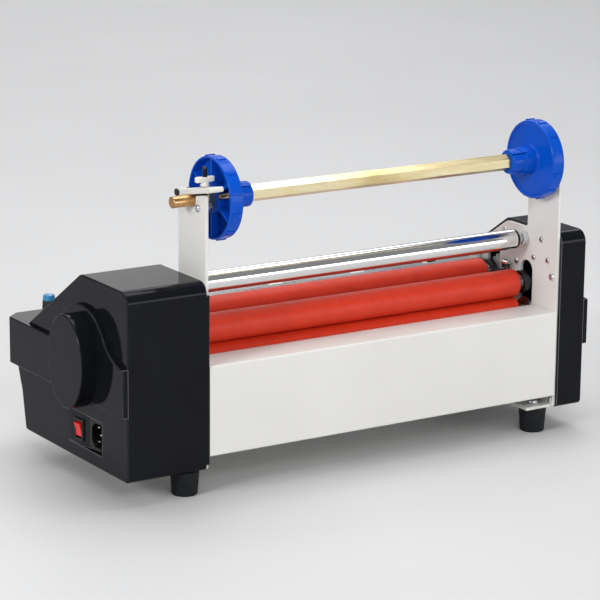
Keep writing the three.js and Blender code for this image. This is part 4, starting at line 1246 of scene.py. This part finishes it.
def clamp_bar():
    """The lever over the journal, with room for the upright's ear and a slot for the stud."""
    low, high = machine_box("clamp_bar")
    x = (low.x, high.x)
    nose = 60.4
    corners = [
        (*on_clamp(nose, CLAMP_HALF), 2.4),
        (*on_clamp(nose, -CLAMP_HALF), 2.4),
        (*on_clamp(-4.4, -2.9), 2.8),
        (*on_clamp(-4.4, 2.9), 2.8),
    ]
    bar = prism(rounded(corners, 8), *x, 0.8)
    near_pin = ((39, 57), (244, 269))
    ear = block((LEFT_OUT - GAP, LEFT_IN + GAP), *near_pin)
    trim = block((LEFT_IN + GAP + 3, x[1] + 1), *near_pin)
    hole = rod(*CLAMP_PIN, 2.3, x[0] - 2, x[1] + 2, 0)
    slot = rectangle((STUD_X - 3.1, STUD_X + 3.1), (11, 23), 3)
    cuts = [ear, trim, hole, prism(slot, 248, 280, place=along_z)]
    piece("clamp_lever", bar, NYLON, "clamp_bar", ["clamp_bar"], cuts=cuts)
    pin_low, pin_high = machine_box("clamp_pivot_pin")
    pin = rod(*CLAMP_PIN, 2, pin_low.x, pin_high.x, 0.3)
    heads = [
        rod(*CLAMP_PIN, 3.5, pin_low.x, pin_low.x + 1.8, 0.6),
        rod(*CLAMP_PIN, 3.5, pin_high.x - 1.4, pin_high.x, 0.5),
    ]
    piece("clamp_rivet", pin, DARK, nodes=["clamp_pivot_pin"], adds=heads)


def brake_stud():
    """The stud's eye on the bolt and its threaded upper part."""
    top = machine_box("brake_stud")[1].z
    eye = tube(*CLAMP_BOLT, 5, 2.7, STUD_X - 2.6, STUD_X + 2.6, 0.6, 48)
    piece("stud_eye", eye, BRIGHT, nodes=["brake_stud"])
    pitch = 0.8
    height = CLAMP_BOLT[1] + 4
    corners = [(0, height, 0)]
    while height + pitch < top - 0.6:
        corners += [(1.95, height, 0), (2.3, height + pitch / 2, 0)]
        height += pitch
    corners += [(1.9, top, 0), (0, top, 0)]
    piece("stud_thread", turned_z(corners, STUD_X, CLAMP_BOLT[0], 32), DARK)


def wing_nut():
    low, high = machine_box("brake_wing_nut")
    x, y = STUD_X, CLAMP_BOLT[0]
    collar_top = low.z + 4.6
    corners = [(2.6, low.z, 0.3), (4.4, low.z, 0.5), (3.6, collar_top, 0), (2.6, collar_top, 0)]
    wings = prism(rectangle((x - 10, x + 10), (y - 3, y + 3), 2.6), low.z + 4, high.z, 1.0, along_z)
    bore = rod_z(x, y, 2.6, low.z - 1, high.z + 1, 0)
    neck = turned_z(corners, x, y)
    piece("wing_grip", neck, NYLON, "wing_nut", ["brake_wing_nut"], adds=[wings], cuts=[bore])


def brake_spring():
    low, high = machine_box("brake_spring")
    spring = coil(STUD_X, CLAMP_BOLT[0], low.z, high.z, 3.5, 0.8, 5.0)
    piece("brake_coil", spring, DARK, nodes=["brake_spring"])


def brake_bolt():
    low, high = machine_box("brake_bolt")
    shank = rod(*CLAMP_BOLT, 2.4, low.x + 1, high.x, 0.3)
    nut = prism(hexagon(*CLAMP_BOLT, 7.5), high.x - 3.4, high.x - 0.4, 0.4)
    piece("eye_bolt", shank, BRIGHT, nodes=["brake_bolt"], adds=[nut])
    pan_screw("eye_bolt_head", (LEFT_OUT - GAP, *CLAMP_BOLT), (-1, 0, 0), 3.6)


# ---- hidden pieces keep their CAD shape

HIDDEN = {
    "gear_motor": STEEL,
    "motor_pinion": BRASS,
    "pull_drive_gear": NYLON,
    "main_drive_gear": NYLON,
    "main_lower_gear": NYLON,
    "main_upper_gear": NYLON,
    "control_board": BOARD,
    "speed_potentiometer": STEEL,
}


def dress_hidden():
    for node, material in HIDDEN.items():
        mesh_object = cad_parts[node]
        mesh_object.data.materials.clear()
        mesh_object.data.materials.append(material)


# ---- build

left_cover()
right_cover()
raised_band("left_band", LEFT_FACE, -1)
raised_band("right_band", RIGHT_FACE, 1)
drum()
side_plate("left", LEFT_IN, -1)
side_plate("right", RIGHT_IN, 1)
front_panel()
chassis_pan()
feed_table()
film_guide()
for place in ("front_left", "rear_left", "front_right", "rear_right"):
    foot(place + "_foot")
plate_screws()
power_inlet()
power_switch()
switch_rocker()
speed_knob()
roller("lower_main_roller", LOW_MAIN)
roller("lower_pull_roller", LOW_PULL)
roller("upper_main_roller", UP_MAIN)
roller("upper_pull_roller", UP_PULL)
for side, outward in (("left", -1), ("right", 1)):
    flanged_bearing(side + "_lower_pull_bearing", LOW_PULL, outward)
    flanged_bearing(side + "_lower_main_bearing", LOW_MAIN, outward)
idler()
pressure_arm("left", LEFT_IN, -1)
pressure_arm("right", RIGHT_IN, 1)
supply_bar()
chuck("left_chuck", LEFT_CHUCK_FACE, 1)
chuck("right_chuck", RIGHT_CHUCK_FACE, -1)
locking_screw()
clamp_bar()
brake_stud()
wing_nut()
brake_spring()
brake_bolt()
dress_hidden()

# ---- studio


def floor_plane():
    """A wide pale floor that curves up into a backdrop far behind the machine."""
    bm = bmesh.new()
    half, front, back, rise = 6.0, -4.0, 5.0, 3.0
    path = [(front, 0.0), (back, 0.0)]
    path += [(back + rise * math.sin(a), rise * (1 - math.cos(a))) for a in quarter(24)[1:]]
    rows = [[bm.verts.new((x, y, z)) for x in (-half, half)] for y, z in path]
    for a, b in zip(rows, rows[1:]):
        bm.faces.new((a[0], a[1], b[1], b[0]))
    made = as_object(bm, "floor")
    look = Look("floor_paper", (0.62, 0.62, 0.62), 0.6)
    look.mottle(look.noise(3, 3), (0.60, 0.60, 0.60))
    made.data.materials.append(look.bump(look.noise(900, 2), 0.05, 0.0005))
    made.data.shade_smooth()


def softbox(name, place, target, size, power):
    """A rectangular lamp that faces a point."""
    data = bpy.data.lights.new(name, "AREA")
    data.shape = "RECTANGLE"
    data.size, data.size_y = size
    data.energy = power
    lamp = bpy.data.objects.new(name, data)
    lamp.location = place
    lamp.rotation_mode = "QUATERNION"
    lamp.rotation_quaternion = (Vector(target) - Vector(place)).to_track_quat("-Z", "Y")
    bpy.context.scene.collection.objects.link(lamp)


WORLD_COLOR = (0.93, 0.95, 1.0, 1)
WORLD_STRENGTH = 0.3
LAMPS = {  # place, target, size, power
    "key": ((-0.9, -2.3, 1.5), (0, 0, 0.12), (0.9, 0.7), 18),
    "front": ((1.5, -2.2, 0.45), (0, 0, 0.2), (2.8, 0.7), 24),
    "top": ((0.2, 0.3, 2.2), (0, 0, 0.1), (2.0, 1.4), 34),
    "side": ((-2.2, -0.7, 1.0), (-0.25, 0, 0.1), (0.5, 0.5), 28),
    "rear": ((1.5, 2.6, 2.4), (1.7, 2.9, 0), (3.0, 2.4), 48),
    "wall": ((3.0, 5.0, 3.4), (4.5, 8.0, 1.8), (3.0, 1.5), 200),
}


def studio():
    world = bpy.data.worlds.new("studio")
    bpy.context.scene.world = world
    world.use_nodes = True
    background = world.node_tree.nodes["Background"]
    background.inputs["Color"].default_value = WORLD_COLOR
    background.inputs["Strength"].default_value = WORLD_STRENGTH
    for name, spec in LAMPS.items():
        softbox(name, *spec)


CAMERA_PLACE = Vector((-1164.6, -2122.8, 785.0))  # x from the left cover's face
CAMERA_YAW = math.radians(32.78)
CAMERA_PITCH = math.radians(14.73)
CAMERA_ROLL = math.radians(0.60)
CAMERA_LENS = 166.2
CAMERA_SHIFT = (-0.026, 0.0475)


def camera():
    data = bpy.data.cameras.new("camera")
    data.lens = CAMERA_LENS
    data.sensor_width = 36.0
    data.shift_x, data.shift_y = CAMERA_SHIFT
    made = bpy.data.objects.new("camera", data)
    bpy.context.scene.collection.objects.link(made)
    face = Vector((LEFT_FACE, 0, 0))
    made.location = ORIGIN + (face + CAMERA_PLACE) * MM
    forward = Vector(
        (
            math.sin(CAMERA_YAW) * math.cos(CAMERA_PITCH),
            math.cos(CAMERA_YAW) * math.cos(CAMERA_PITCH),
            -math.sin(CAMERA_PITCH),
        )
    )
    level = forward.cross(Vector((0, 0, 1))).normalized()
    above = level.cross(forward)
    right = level * math.cos(CAMERA_ROLL) + above * math.sin(CAMERA_ROLL)
    up = above * math.cos(CAMERA_ROLL) - level * math.sin(CAMERA_ROLL)
    made.rotation_mode = "QUATERNION"
    made.rotation_quaternion = Matrix((right, up, -forward)).transposed().to_quaternion()
    data.clip_end = 50
    bpy.context.scene.camera = made


floor_plane()
studio()
camera()
bpy.context.scene.view_settings.view_transform = "Standard"
